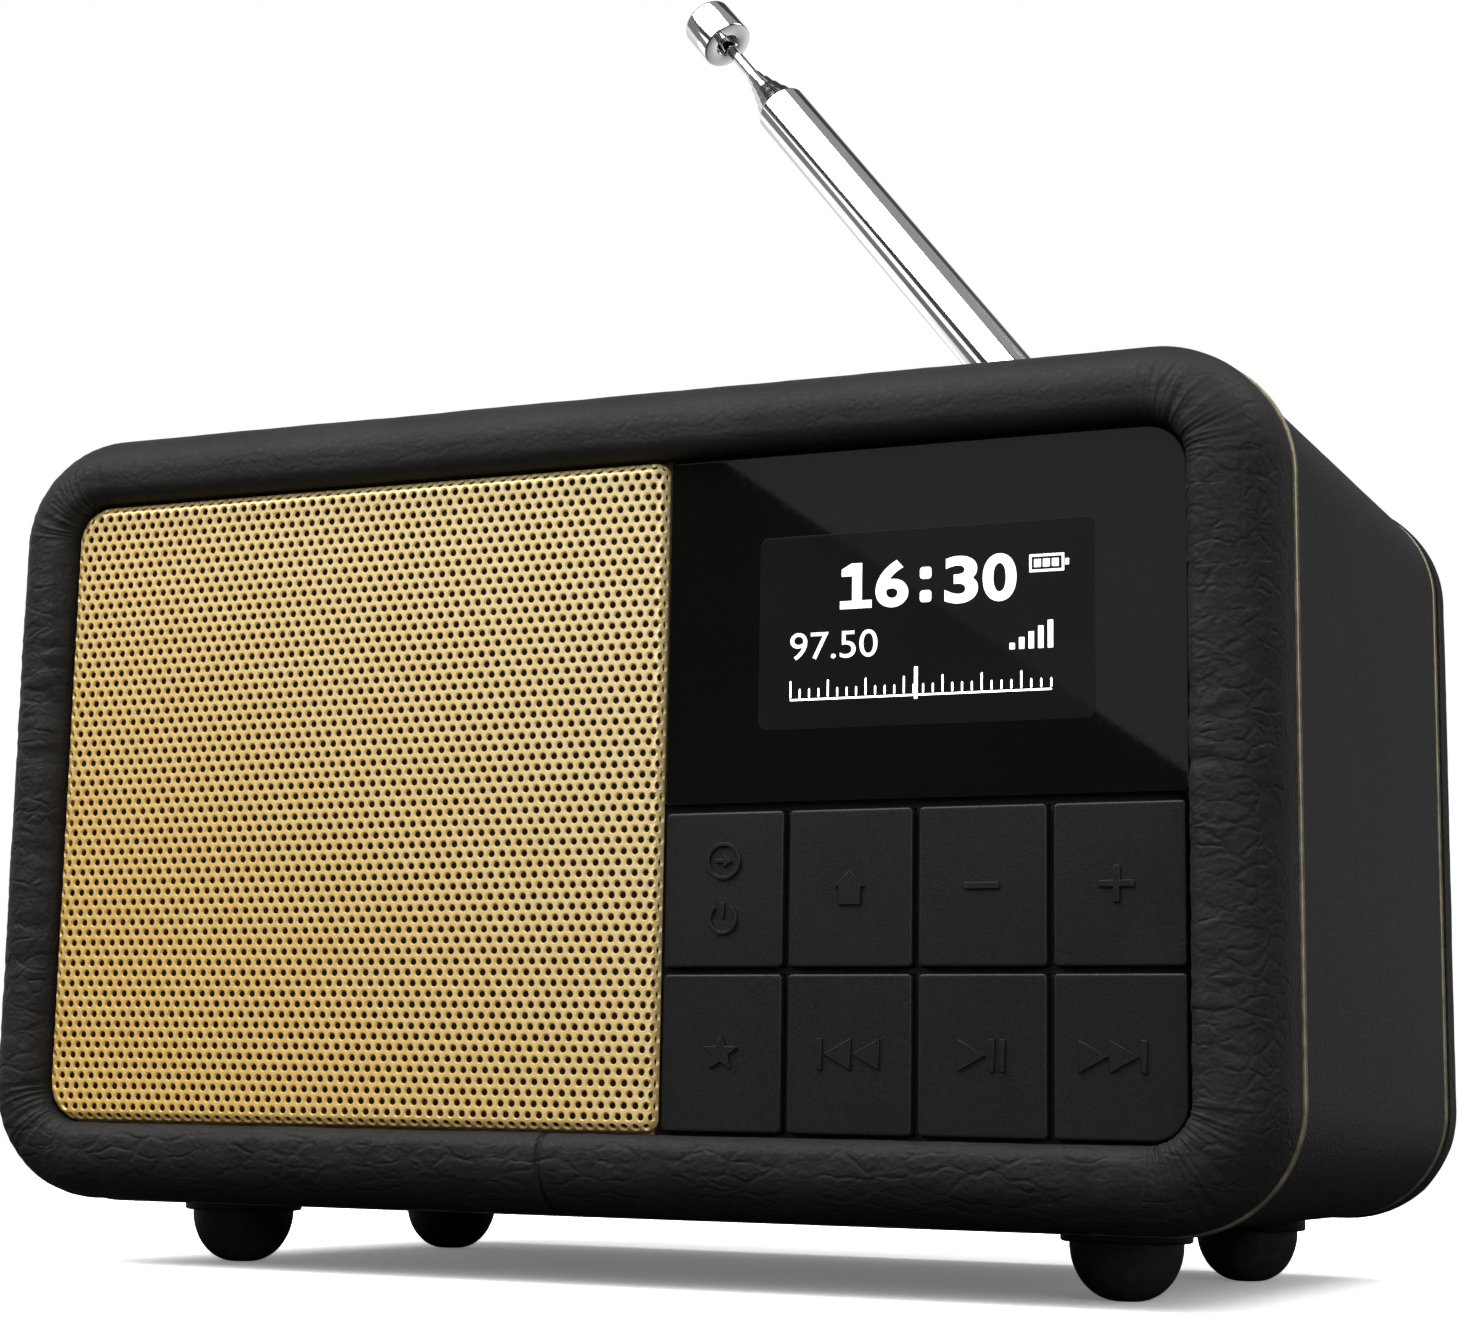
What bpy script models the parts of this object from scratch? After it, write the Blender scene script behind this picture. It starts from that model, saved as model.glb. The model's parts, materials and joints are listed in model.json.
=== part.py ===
"""Portable radio in a leather-covered cabinet, as separate parts.

The front faces -Y, +X is to its right and +Z is up. The feet stand on Z = 0.
Most parts are placed from the middle of the cabinet, which the empty "cabinet_middle" holds.
"""

from math import cos, pi, radians, sin

import bmesh
import bpy
from mathutils import Matrix, Vector

# Driving dimensions, in metres
WIDTH = 0.180
HEIGHT = 0.1058
CREST = 0.059  # from the middle of the cabinet to the front or rear crest
BAND = 0.0102  # width of the leather frame round the front and rear openings
OPENING_RADIUS = 0.0054
FOOT_HEIGHT = 0.0087
GAP = 0.0003  # between parts that touch
LEATHER = 0.0010
MIDDLE_Y = -0.0226  # puts the middle of the whole outline, antenna included, over the origin

# Levels measured from the middle plane of the cabinet, towards the front or the rear
SHELL_END = 0.0453
PIPING_NEAR = 0.0450
PIPING_FAR = 0.0462
ROLL_START = 0.050  # where the outer face turns into the rolled edge
LIP = 0.0542  # back edge of the frame's inner wall
PANEL_OUTER = LIP - GAP
PANEL_INNER = PANEL_OUTER - 0.003
CONTROLS = 0.0553  # front of the window and the buttons
GRILLE = 0.0568  # front of the grille

# Widths measured outwards from the edge of the opening
REBATE = 0.0040
SKIN_OUTER = BAND - 0.0003
SHELL_OUTER = SKIN_OUTER - LEATHER - GAP
SHELL_INNER = SHELL_OUTER - 0.0032
PIPING_OUTER = BAND + 0.0002
CRESTED_FROM = 0.0024
CRESTED_TO = 0.0036

OPENING_X = WIDTH / 2 - BAND
OPENING_Z = HEIGHT / 2 - BAND
MIDDLE_Z = FOOT_HEIGHT + HEIGHT / 2

# Front panel
GRILLE_RIGHT = 0.0116
SPEAKER_X = (GRILLE_RIGHT - OPENING_X) / 2
COLUMNS = 4
ROWS = 2
COLUMN_PITCH = 0.0169
ROW_PITCH = 0.0201
KEYS_LEFT = 0.0117
KEYS_TOP = -0.0024
KEY_SPACE = 0.0013
KEY_TO_GRILLE = 0.0009  # the first column is narrower, beside the grille
KEY_TRAVEL = 0.0012
SCREEN_X = 0.0463
SCREEN_Z = 0.0194
SCREEN_WIDTH = 0.0438
SCREEN_HEIGHT = 0.0246

# Feet
FOOT_X = 0.0642
FOOT_Y = 0.0302
FOOT_RADIUS = 0.00705
FOOT_FLAT = 0.0022  # radius of the flat that rests on the table
PLATE_RADIUS = 0.00815
PLATE_THICK = 0.0016

# Rear panel
SCREW_X = 0.0705
SCREW_Z = 0.0365
JACK_X = -0.046
USB_X = -0.062
SOCKETS_Z = -0.031

# Antenna: the hinge is placed from the middle of the cabinet, lengths are from the hinge
HINGE = Vector((0.05566, 0.066, 0.0345))
LEAN = radians(39.8)  # to the left
TILT = radians(11)  # to the rear
TUBE_RADII = (0.0048, 0.0040, 0.0032, 0.0024, 0.0017)
TUBE_WALLS = (0.0006, 0.0006, 0.0006, 0.0005, 0.00045)
FIRST_TUBE_START = 0.0140
FIRST_TUBE_END = 0.1473
TUBE_STEP = 0.00255  # each tube shows this much more than the one around it
TUBE_START_STEP = 0.0020
ROD_RADIUS = 0.00105
ROD_START = 0.030
TIP_START = 0.1677
TIP_END = 0.1760
TIP_RADIUS = 0.00485

CORNER_STEPS = 6
ROUND_SIDES = 20


def clear_scene():
    for thing in list(bpy.data.objects):
        bpy.data.objects.remove(thing, do_unlink=True)


def empty(name, location, rotation=(0, 0, 0), parent=None):
    holder = bpy.data.objects.new(name, None)
    bpy.context.scene.collection.objects.link(holder)
    holder.location = location
    holder.rotation_euler = rotation
    holder.parent = parent
    return holder


def material(name, colour, roughness, metallic=0.0):
    made = bpy.data.materials.new(name)
    made.use_nodes = True
    shader = made.node_tree.nodes["Principled BSDF"]
    shader.inputs["Base Color"].default_value = (*colour, 1)
    shader.inputs["Roughness"].default_value = roughness
    shader.inputs["Metallic"].default_value = metallic
    return made


def part(name, mesh_builder, finish, parent, location=(0, 0, 0), rotation=(0, 0, 0)):
    """A named object from a bmesh, with its own material, smooth where it is round."""
    bmesh.ops.recalc_face_normals(mesh_builder, faces=mesh_builder.faces)
    mesh = bpy.data.meshes.new(name)
    mesh_builder.to_mesh(mesh)
    mesh_builder.free()
    mesh.shade_smooth()
    mesh.set_sharp_from_angle(angle=radians(35))
    made = bpy.data.objects.new(name, mesh)
    bpy.context.scene.collection.objects.link(made)
    made.location = location
    made.rotation_euler = rotation
    made.parent = parent
    mesh.materials.append(material(name, *finish))
    return made


def cutter(name, mesh_builder, parent, location=(0, 0, 0), rotation=(0, 0, 0)):
    bmesh.ops.recalc_face_normals(mesh_builder, faces=mesh_builder.faces)
    mesh = bpy.data.meshes.new(name)
    mesh_builder.to_mesh(mesh)
    mesh_builder.free()
    made = bpy.data.objects.new(name, mesh)
    bpy.context.scene.collection.objects.link(made)
    made.location = location
    made.rotation_euler = rotation
    made.parent = parent
    made.hide_render = True
    made.display_type = "WIRE"
    return made


def boolean(target, tool, operation):
    step = target.modifiers.new(tool.name, "BOOLEAN")
    step.operation = operation
    step.solver = "EXACT"
    step.object = tool


def skin_rings(rings, closed=False):
    """A solid through rings of equally many points, capped at both ends or closed on itself."""
    mesh_builder = bmesh.new()
    made = []
    for ring in rings:
        made.append([mesh_builder.verts.new(point) for point in ring])
    pairs = list(zip(made[:-1], made[1:]))
    if closed:
        pairs.append((made[-1], made[0]))
    for lower, upper in pairs:
        for i in range(len(lower)):
            j = (i + 1) % len(lower)
            mesh_builder.faces.new((lower[i], lower[j], upper[j], upper[i]))
    if not closed:
        mesh_builder.faces.new(made[0])
        mesh_builder.faces.new(made[-1])
    return mesh_builder


def arc(centre, radii, start, end, steps):
    """Points on an ellipse's arc, both ends included; angles in degrees."""
    points = []
    for i in range(steps + 1):
        angle = radians(start + (end - start) * i / steps)
        points.append((centre[0] + radii[0] * cos(angle), centre[1] + radii[1] * sin(angle)))
    return points


def rounded(low, high, radii, steps=3):
    """A rectangle's outline with round corners: top right, top left, bottom left, bottom right."""
    corners = (
        (high[0], high[1], -1, -1),
        (low[0], high[1], 1, -1),
        (low[0], low[1], 1, 1),
        (high[0], low[1], -1, 1),
    )
    points = []
    for quarter, ((x, z, inward_x, inward_z), radius) in enumerate(zip(corners, radii)):
        centre = (x + inward_x * radius, z + inward_z * radius)
        points += arc(centre, (radius, radius), 90 * quarter, 90 * quarter + 90, steps)
    return points


def inset(low, high, radii, amount, y, steps=3):
    """The same rectangle drawn in by an amount, as a ring of points at depth y."""
    new_low = (low[0] + amount, low[1] + amount)
    new_high = (high[0] - amount, high[1] - amount)
    new_radii = [max(radius - amount, 0.00015) for radius in radii]
    return [(x, y, z) for x, z in rounded(new_low, new_high, new_radii, steps)]


def opening_path(outward, steps=CORNER_STEPS):
    """The opening's outline, moved outwards so that its corners stay round about the same centres."""
    low = (-OPENING_X - outward, -OPENING_Z - outward)
    high = (OPENING_X + outward, OPENING_Z + outward)
    return rounded(low, high, [OPENING_RADIUS + outward] * 4, steps)


def swept(profile):
    """A ring round the cabinet; the profile is a closed loop of (outwards, depth) pairs."""
    rings = [[(x, depth, z) for x, z in opening_path(outward)] for outward, depth in profile]
    return skin_rings(rings, closed=True)


def plate(outline, y_low, y_high):
    return skin_rings([[(x, y, z) for x, z in outline] for y in (y_low, y_high)])


def block(low, high):
    x, z = (low[0], high[0]), (low[2], high[2])
    outline = [(x[1], z[1]), (x[0], z[1]), (x[0], z[0]), (x[1], z[0])]
    return plate(outline, low[1], high[1])


def turned(profile, sides=ROUND_SIDES, hollow=False):
    """A solid turned about local Z from (radius, height) points, from axis to axis or as a loop if hollow."""
    inner = profile if hollow else profile[1:-1]
    rings = []
    for radius, height in inner:
        turn = [2 * pi * i / sides for i in range(sides)]
        rings.append([(radius * cos(a), radius * sin(a), height) for a in turn])
    if hollow:
        return skin_rings(rings, closed=True)
    return skin_rings(rings)


def from_axis(radius_low, radius_high, start, end):
    """Profile of a plain cylinder or cone, for turned()."""
    return [(0, start), (radius_low, start), (radius_high, end), (0, end)]


def frame_curve(drawn_in, end):
    """The leather frame's cross-section, from the opening's edge over the crest to the outer face."""
    corner = CRESTED_FROM - drawn_in
    roll = (BAND - CRESTED_TO - drawn_in, CREST - ROLL_START - drawn_in)
    points = [(drawn_in, LIP)]
    points += arc((CRESTED_FROM, CREST - CRESTED_FROM), (corner, corner), 180, 90, 3)
    points += arc((CRESTED_TO, ROLL_START), roll, 90, 0, 6)
    points.append((BAND - drawn_in, end))
    return points


def facing(profile, side):
    return [(outward, side * depth) for outward, depth in profile]


LEATHER_BLACK = ((0.030, 0.029, 0.030), 0.5)
WOOD_BOARD = ((0.30, 0.20, 0.12), 0.7)
GOLD = ((0.83, 0.62, 0.30), 0.35, 1.0)
CHROME = ((0.80, 0.80, 0.80), 0.12, 1.0)
BLACK_PLASTIC = ((0.025, 0.025, 0.027), 0.45)
RUBBER = ((0.020, 0.020, 0.020), 0.65)
BOARD_GREEN = ((0.03, 0.16, 0.07), 0.5)


def make_cabinet(middle):
    """The tube of the cabinet with four screw posts, its leather, and the two gold pipings."""
    shell_profile = [
        (SHELL_INNER, -SHELL_END),
        (SHELL_OUTER, -SHELL_END),
        (SHELL_OUTER, SHELL_END),
        (SHELL_INNER, SHELL_END),
    ]
    shell = part("cabinet_shell", swept(shell_profile), WOOD_BOARD, middle)
    post_half = 0.0035
    post_end = PANEL_INNER - GAP
    post_start = post_end - 0.011
    wall_z = OPENING_Z + SHELL_INNER + 0.001
    rebate_z = OPENING_Z + REBATE - GAP
    for side_x in (-1, 1):
        for side_z in (-1, 1):
            x = side_x * SCREW_X
            inner = SCREW_Z - post_half
            for level, top, end in (("root", wall_z, SHELL_END), ("top", rebate_z, post_end)):
                ends = sorted((side_z * inner, side_z * top))
                low = (x - post_half, post_start, ends[0])
                high = (x + post_half, end, ends[1])
                post = cutter(f"post_{level}_{side_x}_{side_z}", block(low, high), middle)
                boolean(shell, post, "UNION")
            drill = turned(from_axis(0.0016, 0.0016, post_end - 0.008, post_end + 0.002), 12)
            place = (x, 0, side_z * SCREW_Z)
            drilled = cutter(f"post_hole_{side_x}_{side_z}", drill, middle, place, (-pi / 2, 0, 0))
            boolean(shell, drilled, "DIFFERENCE")

    skin_end = PIPING_NEAR - GAP
    skin_profile = [
        (SKIN_OUTER - LEATHER, -skin_end),
        (SKIN_OUTER, -skin_end),
        (SKIN_OUTER, skin_end),
        (SKIN_OUTER - LEATHER, skin_end),
    ]
    part("cabinet_leather", swept(skin_profile), LEATHER_BLACK, middle)

    for name, side in (("front_piping", -1), ("rear_piping", 1)):
        root = BAND - LEATHER
        shoulder = PIPING_OUTER - 0.00025
        profile = [
            (root, PIPING_NEAR),
            (shoulder, PIPING_NEAR),
            (PIPING_OUTER, PIPING_NEAR + 0.0003),
            (PIPING_OUTER, PIPING_FAR - 0.0003),
            (shoulder, PIPING_FAR),
            (root, PIPING_FAR),
        ]
        part(name, swept(facing(profile, side)), GOLD, middle)


def make_frames(middle):
    """The two padded frames: a stiff core with a rebate for its panel, and the leather wrapped over it."""
    for name, side in (("front_frame", -1), ("rear_frame", 1)):
        core = frame_curve(LEATHER + GAP, SHELL_END + GAP)
        core += [(REBATE, SHELL_END + GAP), (REBATE, LIP)]
        part(name, swept(facing(core, side)), WOOD_BOARD, middle)
        skin_end = PIPING_FAR + GAP
        skin = frame_curve(0, skin_end) + frame_curve(LEATHER, skin_end)[::-1]
        part(f"{name}_leather", swept(facing(skin, side)), LEATHER_BLACK, middle)


def key_rectangle(column, row):
    """Low and high corners, in X and Z, of one button's front."""
    cell_left = KEYS_LEFT + column * COLUMN_PITCH
    cell_top = KEYS_TOP - row * ROW_PITCH
    left = max(cell_left + KEY_SPACE / 2, GRILLE_RIGHT + KEY_TO_GRILLE)
    right = cell_left + COLUMN_PITCH - KEY_SPACE / 2
    top = cell_top - KEY_SPACE / 2
    bottom = cell_top - ROW_PITCH + KEY_SPACE / 2
    return (left, bottom), (right, top)


def rectangle_cutter(name, low, high, middle, y_low, y_high):
    solid = block((low[0], y_low, low[1]), (high[0], y_high, high[1]))
    return cutter(name, solid, middle)


def make_front_panel(middle):
    """The baffle with its openings, the grille with its cloth, and the window with the screen behind it."""
    rim = opening_path(REBATE - GAP)
    baffle = part("front_baffle", plate(rim, -PANEL_OUTER, -PANEL_INNER), WOOD_BOARD, middle)
    cut_from, cut_to = -PANEL_OUTER - 0.001, -PANEL_INNER + 0.001
    speaker_hole = turned(from_axis(0.030, 0.030, cut_from, cut_to), 32)
    place = (SPEAKER_X, 0, 0)
    hole = cutter("speaker_hole", speaker_hole, middle, place, (-pi / 2, 0, 0))
    boolean(baffle, hole, "DIFFERENCE")
    half_w, half_h = SCREEN_WIDTH / 2, SCREEN_HEIGHT / 2
    low = (SCREEN_X - half_w, SCREEN_Z - half_h)
    high = (SCREEN_X + half_w, SCREEN_Z + half_h)
    boolean(baffle, rectangle_cutter("screen_hole", low, high, middle, cut_from, cut_to), "DIFFERENCE")
    low, high = keypad_rectangle()
    boolean(baffle, rectangle_cutter("keypad_hole", low, high, middle, cut_from, cut_to), "DIFFERENCE")

    low = (-OPENING_X + GAP, -OPENING_Z + GAP)
    high = (GRILLE_RIGHT, OPENING_Z - GAP)
    corner = OPENING_RADIUS - GAP
    radii = (0.0008, corner, corner, 0.0008)
    metal = 0.0005
    rings = [
        inset(low, high, radii, metal, -GRILLE + metal),
        inset(low, high, radii, metal, -LIP),
        inset(low, high, radii, 0, -LIP),
        inset(low, high, radii, 0, -GRILLE + 0.0003),
        inset(low, high, radii, 0.0003, -GRILLE),
    ]
    part("speaker_grille", skin_rings(rings), GOLD, middle)
    cloth_rings = [
        inset(low, high, radii, metal + GAP, -LIP - 0.0006),
        inset(low, high, radii, metal + GAP, -LIP),
    ]
    part("grille_cloth", skin_rings(cloth_rings), ((0.02, 0.018, 0.015), 0.9), middle)

    low = (GRILLE_RIGHT + 0.0004, KEYS_TOP + KEY_SPACE / 2)
    high = (OPENING_X - GAP, OPENING_Z - GAP)
    radii = (corner, 0.0006, 0.0006, 0.0006)
    rings = [
        inset(low, high, radii, 0.0002, -CONTROLS),
        inset(low, high, radii, 0, -CONTROLS + 0.0002),
        inset(low, high, radii, 0, -LIP),
    ]
    part("display_window", skin_rings(rings), ((0.01, 0.01, 0.011), 0.08), middle)
    screen_low = (SCREEN_X - half_w + GAP, -PANEL_OUTER, SCREEN_Z - half_h + GAP)
    screen_high = (SCREEN_X + half_w - GAP, -PANEL_OUTER + 0.005, SCREEN_Z + half_h - GAP)
    part("screen_module", block(screen_low, screen_high), ((0.05, 0.06, 0.08), 0.3), middle)


def keypad_rectangle():
    """The opening in the baffle behind the buttons."""
    edge = 0.0010
    low = (KEYS_LEFT - edge, KEYS_TOP - ROWS * ROW_PITCH - edge)
    high = (KEYS_LEFT + COLUMNS * COLUMN_PITCH + edge, KEYS_TOP + edge)
    return low, high


def make_keypad(middle):
    """The grid that guides the buttons, eight buttons with a flange behind it, and their board."""
    low, high = keypad_rectangle()
    low = (low[0] + GAP, low[1] + GAP)
    high = (high[0] - GAP, high[1] - GAP)
    grid_inner = -PANEL_INNER - GAP
    solid = block((low[0], -PANEL_OUTER, low[1]), (high[0], grid_inner, high[1]))
    grid = part("keypad_grid", solid, BLACK_PLASTIC, middle)
    flange_start = grid_inner + GAP
    flange_end = flange_start + 0.0008
    for row in range(ROWS):
        for column in range(COLUMNS):
            low, high = key_rectangle(column, row)
            hole_low = (low[0] - GAP, low[1] - GAP)
            hole_high = (high[0] + GAP, high[1] + GAP)
            name = f"key_hole_{row}_{column}"
            hole = rectangle_cutter(name, hole_low, hole_high, middle, -CONTROLS, -PANEL_INNER)
            boolean(grid, hole, "DIFFERENCE")

            centre = ((low[0] + high[0]) / 2, (low[1] + high[1]) / 2)
            half = ((high[0] - low[0]) / 2, (high[1] - low[1]) / 2)
            box = ((-half[0], -half[1]), half)
            last = row == ROWS - 1 and column == COLUMNS - 1
            radii = (0.0008, 0.0008, 0.0008, 0.0045 if last else 0.0008)
            wider = -(KEY_SPACE / 2 - GAP / 2)
            rings = [
                inset(*box, radii, 0.0004, -CONTROLS, 2),
                inset(*box, radii, 0, -CONTROLS + 0.0004, 2),
                inset(*box, radii, 0, flange_start, 2),
                inset(*box, radii, wider, flange_start, 2),
                inset(*box, radii, wider, flange_end, 2),
            ]
            rings = [[(x, y + CONTROLS, z) for x, y, z in ring] for ring in rings]
            place = (centre[0], -CONTROLS, centre[1])
            part(f"button_{row + 1}_{column + 1}", skin_rings(rings), BLACK_PLASTIC, middle, place)

    board_low, board_high = keypad_rectangle()
    board_front = flange_end + KEY_TRAVEL + 0.0005
    low = (board_low[0] + GAP, board_front, board_low[1] + GAP)
    high = (board_high[0] - GAP, board_front + 0.0016, board_high[1] - GAP)
    part("keypad_board", block(low, high), BOARD_GREEN, middle)


def make_speaker(middle):
    """A small loudspeaker behind the grille, turned about an axis towards the rear."""
    place = (SPEAKER_X, 0, 0)
    facing_rear = (-pi / 2, 0, 0)
    flange = -PANEL_INNER + GAP
    basket = [
        (0.0285, flange),
        (0.0330, flange),
        (0.0330, flange + 0.0012),
        (0.0297, flange + 0.0012),
        (0.0170, flange + 0.0180),
        (0.0125, flange + 0.0180),
        (0.0125, flange + 0.0168),
        (0.0160, flange + 0.0168),
        (0.0285, flange + 0.0008),
    ]
    metal = ((0.10, 0.10, 0.11), 0.5, 1.0)
    part("speaker_basket", turned(basket, 20, hollow=True), metal, middle, place, facing_rear)
    surround = [
        (0.0252, flange - 0.0004),
        (0.0262, flange - 0.0014),
        (0.0276, flange - 0.0014),
        (0.0282, flange - 0.0004),
        (0.0282, flange + 0.0002),
        (0.0252, flange + 0.0002),
    ]
    part("speaker_surround", turned(surround, 20, hollow=True), RUBBER, middle, place, facing_rear)
    cone = [
        (0.0080, flange + 0.0100),
        (0.0249, flange - 0.0006),
        (0.0249, flange + 0.0002),
        (0.0080, flange + 0.0108),
    ]
    paper = ((0.05, 0.05, 0.05), 0.9)
    part("speaker_cone", turned(cone, 20, hollow=True), paper, middle, place, facing_rear)
    dome = [
        (0, flange + 0.0066),
        (0.0040, flange + 0.0072),
        (0.0070, flange + 0.0092),
        (0.0070, flange + 0.0098),
    ]
    dome.append((0, flange + 0.0098))
    part("dust_cap", turned(dome, 16), paper, middle, place, facing_rear)
    magnet_start = flange + 0.0180 + GAP
    magnet = [
        (0, magnet_start),
        (0.0155, magnet_start),
        (0.0160, magnet_start + 0.0005),
        (0.0160, magnet_start + 0.0105),
        (0.0155, magnet_start + 0.0110),
        (0, magnet_start + 0.0110),
    ]
    part("speaker_magnet", turned(magnet, 20), ((0.06, 0.06, 0.06), 0.5, 1.0), middle, place, facing_rear)


def make_inside(middle):
    """The main board and the battery."""
    low = (0.0140, -0.0400, -0.0420)
    part("main_board", block(low, (0.0800, low[1] + 0.0016, 0.0420)), BOARD_GREEN, middle)
    cell_radius, cell_length = 0.0092, 0.0652
    tray_y, wall = 0.0350, 0.0015
    tray_half = cell_length / 2 + 2 * wall
    tray_bottom, tray_top = -0.0380, 0.0020
    tray = [
        (tray_half, tray_y - 2 * cell_radius),
        (tray_half, tray_y + wall),
        (-tray_half, tray_y + wall),
        (-tray_half, tray_y - 2 * cell_radius),
        (-tray_half + wall, tray_y - 2 * cell_radius),
        (-tray_half + wall, tray_y),
        (tray_half - wall, tray_y),
        (tray_half - wall, tray_y - 2 * cell_radius),
    ]
    rings = [[(x, y, z) for x, y in tray] for z in (tray_bottom, tray_top)]
    part("battery_tray", skin_rings(rings), BLACK_PLASTIC, middle)
    for number in (1, 2):
        z = tray_bottom + (2 * number - 1) * (tray_top - tray_bottom) / 4
        cell = turned(from_axis(cell_radius, cell_radius, -cell_length / 2, cell_length / 2), 16)
        place = (0, tray_y - cell_radius - GAP, z)
        part(f"battery_cell_{number}", cell, ((0.05, 0.20, 0.45), 0.4), middle, place, (0, pi / 2, 0))


def make_rear_panel(middle):
    """The rear panel with its vents, its four screws, and the charging and headphone sockets."""
    rim = opening_path(REBATE - GAP)
    panel = part("rear_panel", plate(rim, PANEL_INNER, PANEL_OUTER), BLACK_PLASTIC, middle)
    cut_from, cut_to = PANEL_INNER - 0.001, PANEL_OUTER + 0.001
    facing_rear = (-pi / 2, 0, 0)

    def drill(name, radius, x, z, sides=16):
        solid = turned(from_axis(radius, radius, cut_from, cut_to), sides)
        boolean(panel, cutter(name, solid, middle, (x, 0, z), facing_rear), "DIFFERENCE")

    screw_number = 0
    for side_x in (-1, 1):
        for side_z in (-1, 1):
            screw_number += 1
            x, z = side_x * SCREW_X, side_z * SCREW_Z
            drill(f"screw_hole_{screw_number}", 0.0016, x, z, 12)
            head = PANEL_OUTER + GAP
            profile = [
                (0, head - 0.0100),
                (0.0012, head - 0.0100),
                (0.0012, head),
                (0.0028, head),
                (0.0026, head + 0.0010),
                (0.0016, head + 0.0016),
                (0, head + 0.0016),
            ]
            steel = ((0.12, 0.12, 0.12), 0.35, 1.0)
            part(f"rear_screw_{screw_number}", turned(profile, 12), steel, middle, (x, 0, z), facing_rear)

    drill("antenna_hole", 0.0034, HINGE.x, HINGE.z)
    drill("jack_hole", 0.0033, JACK_X, SOCKETS_Z)
    usb_half, usb_radius = (0.0046, 0.0017), 0.00165
    usb_low = (USB_X - usb_half[0], SOCKETS_Z - usb_half[1])
    usb_high = (USB_X + usb_half[0], SOCKETS_Z + usb_half[1])
    slot = skin_rings([inset(usb_low, usb_high, [usb_radius] * 4, -GAP, y) for y in (cut_from, cut_to)])
    boolean(panel, cutter("usb_hole", slot, middle), "DIFFERENCE")
    vents, vent_pitch, vent_half = 5, 0.0050, 0.0011
    for number in range(vents):
        z = (number - (vents - 1) / 2) * vent_pitch
        low, high = (SPEAKER_X - 0.020, z - vent_half), (SPEAKER_X + 0.020, z + vent_half)
        vent = rectangle_cutter(f"vent_{number}", low, high, middle, cut_from, cut_to)
        boolean(panel, vent, "DIFFERENCE")

    usb_radii = [usb_radius] * 4
    wall = 0.0005
    rings = [
        inset(usb_low, usb_high, usb_radii, wall, PANEL_OUTER - 0.0062),
        inset(usb_low, usb_high, usb_radii, wall, PANEL_OUTER),
        inset(usb_low, usb_high, usb_radii, 0, PANEL_OUTER),
        inset(usb_low, usb_high, usb_radii, 0, PANEL_OUTER - 0.0075),
    ]
    part("charging_socket", skin_rings(rings), CHROME, middle)
    jack = [
        (0, PANEL_OUTER - 0.0120),
        (0.0018, PANEL_OUTER - 0.0120),
        (0.0018, PANEL_OUTER + 0.0010),
        (0.0040, PANEL_OUTER + 0.0010),
        (0.0042, PANEL_OUTER + GAP),
        (0.0030, PANEL_OUTER + GAP),
        (0.0030, PANEL_OUTER - 0.0135),
        (0, PANEL_OUTER - 0.0135),
    ]
    part("headphone_socket", turned(jack, 16), CHROME, middle, (JACK_X, 0, SOCKETS_Z), facing_rear)


def make_feet(middle):
    """Four rubber domes, each with a stem through a round plate."""
    bottom = -HEIGHT / 2 + BAND - SKIN_OUTER
    plate_top = bottom - GAP
    plate_low = plate_top - PLATE_THICK
    foot_top = plate_low - GAP
    floor = -MIDDLE_Z
    chamfer = 0.0003
    stem = 0.0033
    plate_profile = [
        (stem + GAP, plate_low),
        (PLATE_RADIUS - chamfer, plate_low),
        (PLATE_RADIUS, plate_low + chamfer),
        (PLATE_RADIUS, plate_top),
        (stem + GAP, plate_top),
    ]
    foot_profile = [(0, floor)]
    foot_profile += arc((FOOT_FLAT, foot_top), (FOOT_RADIUS - FOOT_FLAT, foot_top - floor), -90, 0, 6)
    foot_profile += [(stem, foot_top), (stem, plate_top - GAP), (0, plate_top - GAP)]
    for name, x, y in (
        ("front_left", -FOOT_X, -FOOT_Y),
        ("front_right", FOOT_X, -FOOT_Y),
        ("rear_left", -FOOT_X, FOOT_Y),
        ("rear_right", FOOT_X, FOOT_Y),
    ):
        solid = turned(plate_profile, ROUND_SIDES, hollow=True)
        part(f"foot_plate_{name}", solid, BLACK_PLASTIC, middle, (x, y, 0))
        part(f"foot_{name}", turned(foot_profile, ROUND_SIDES), RUBBER, middle, (x, y, 0))


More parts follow.
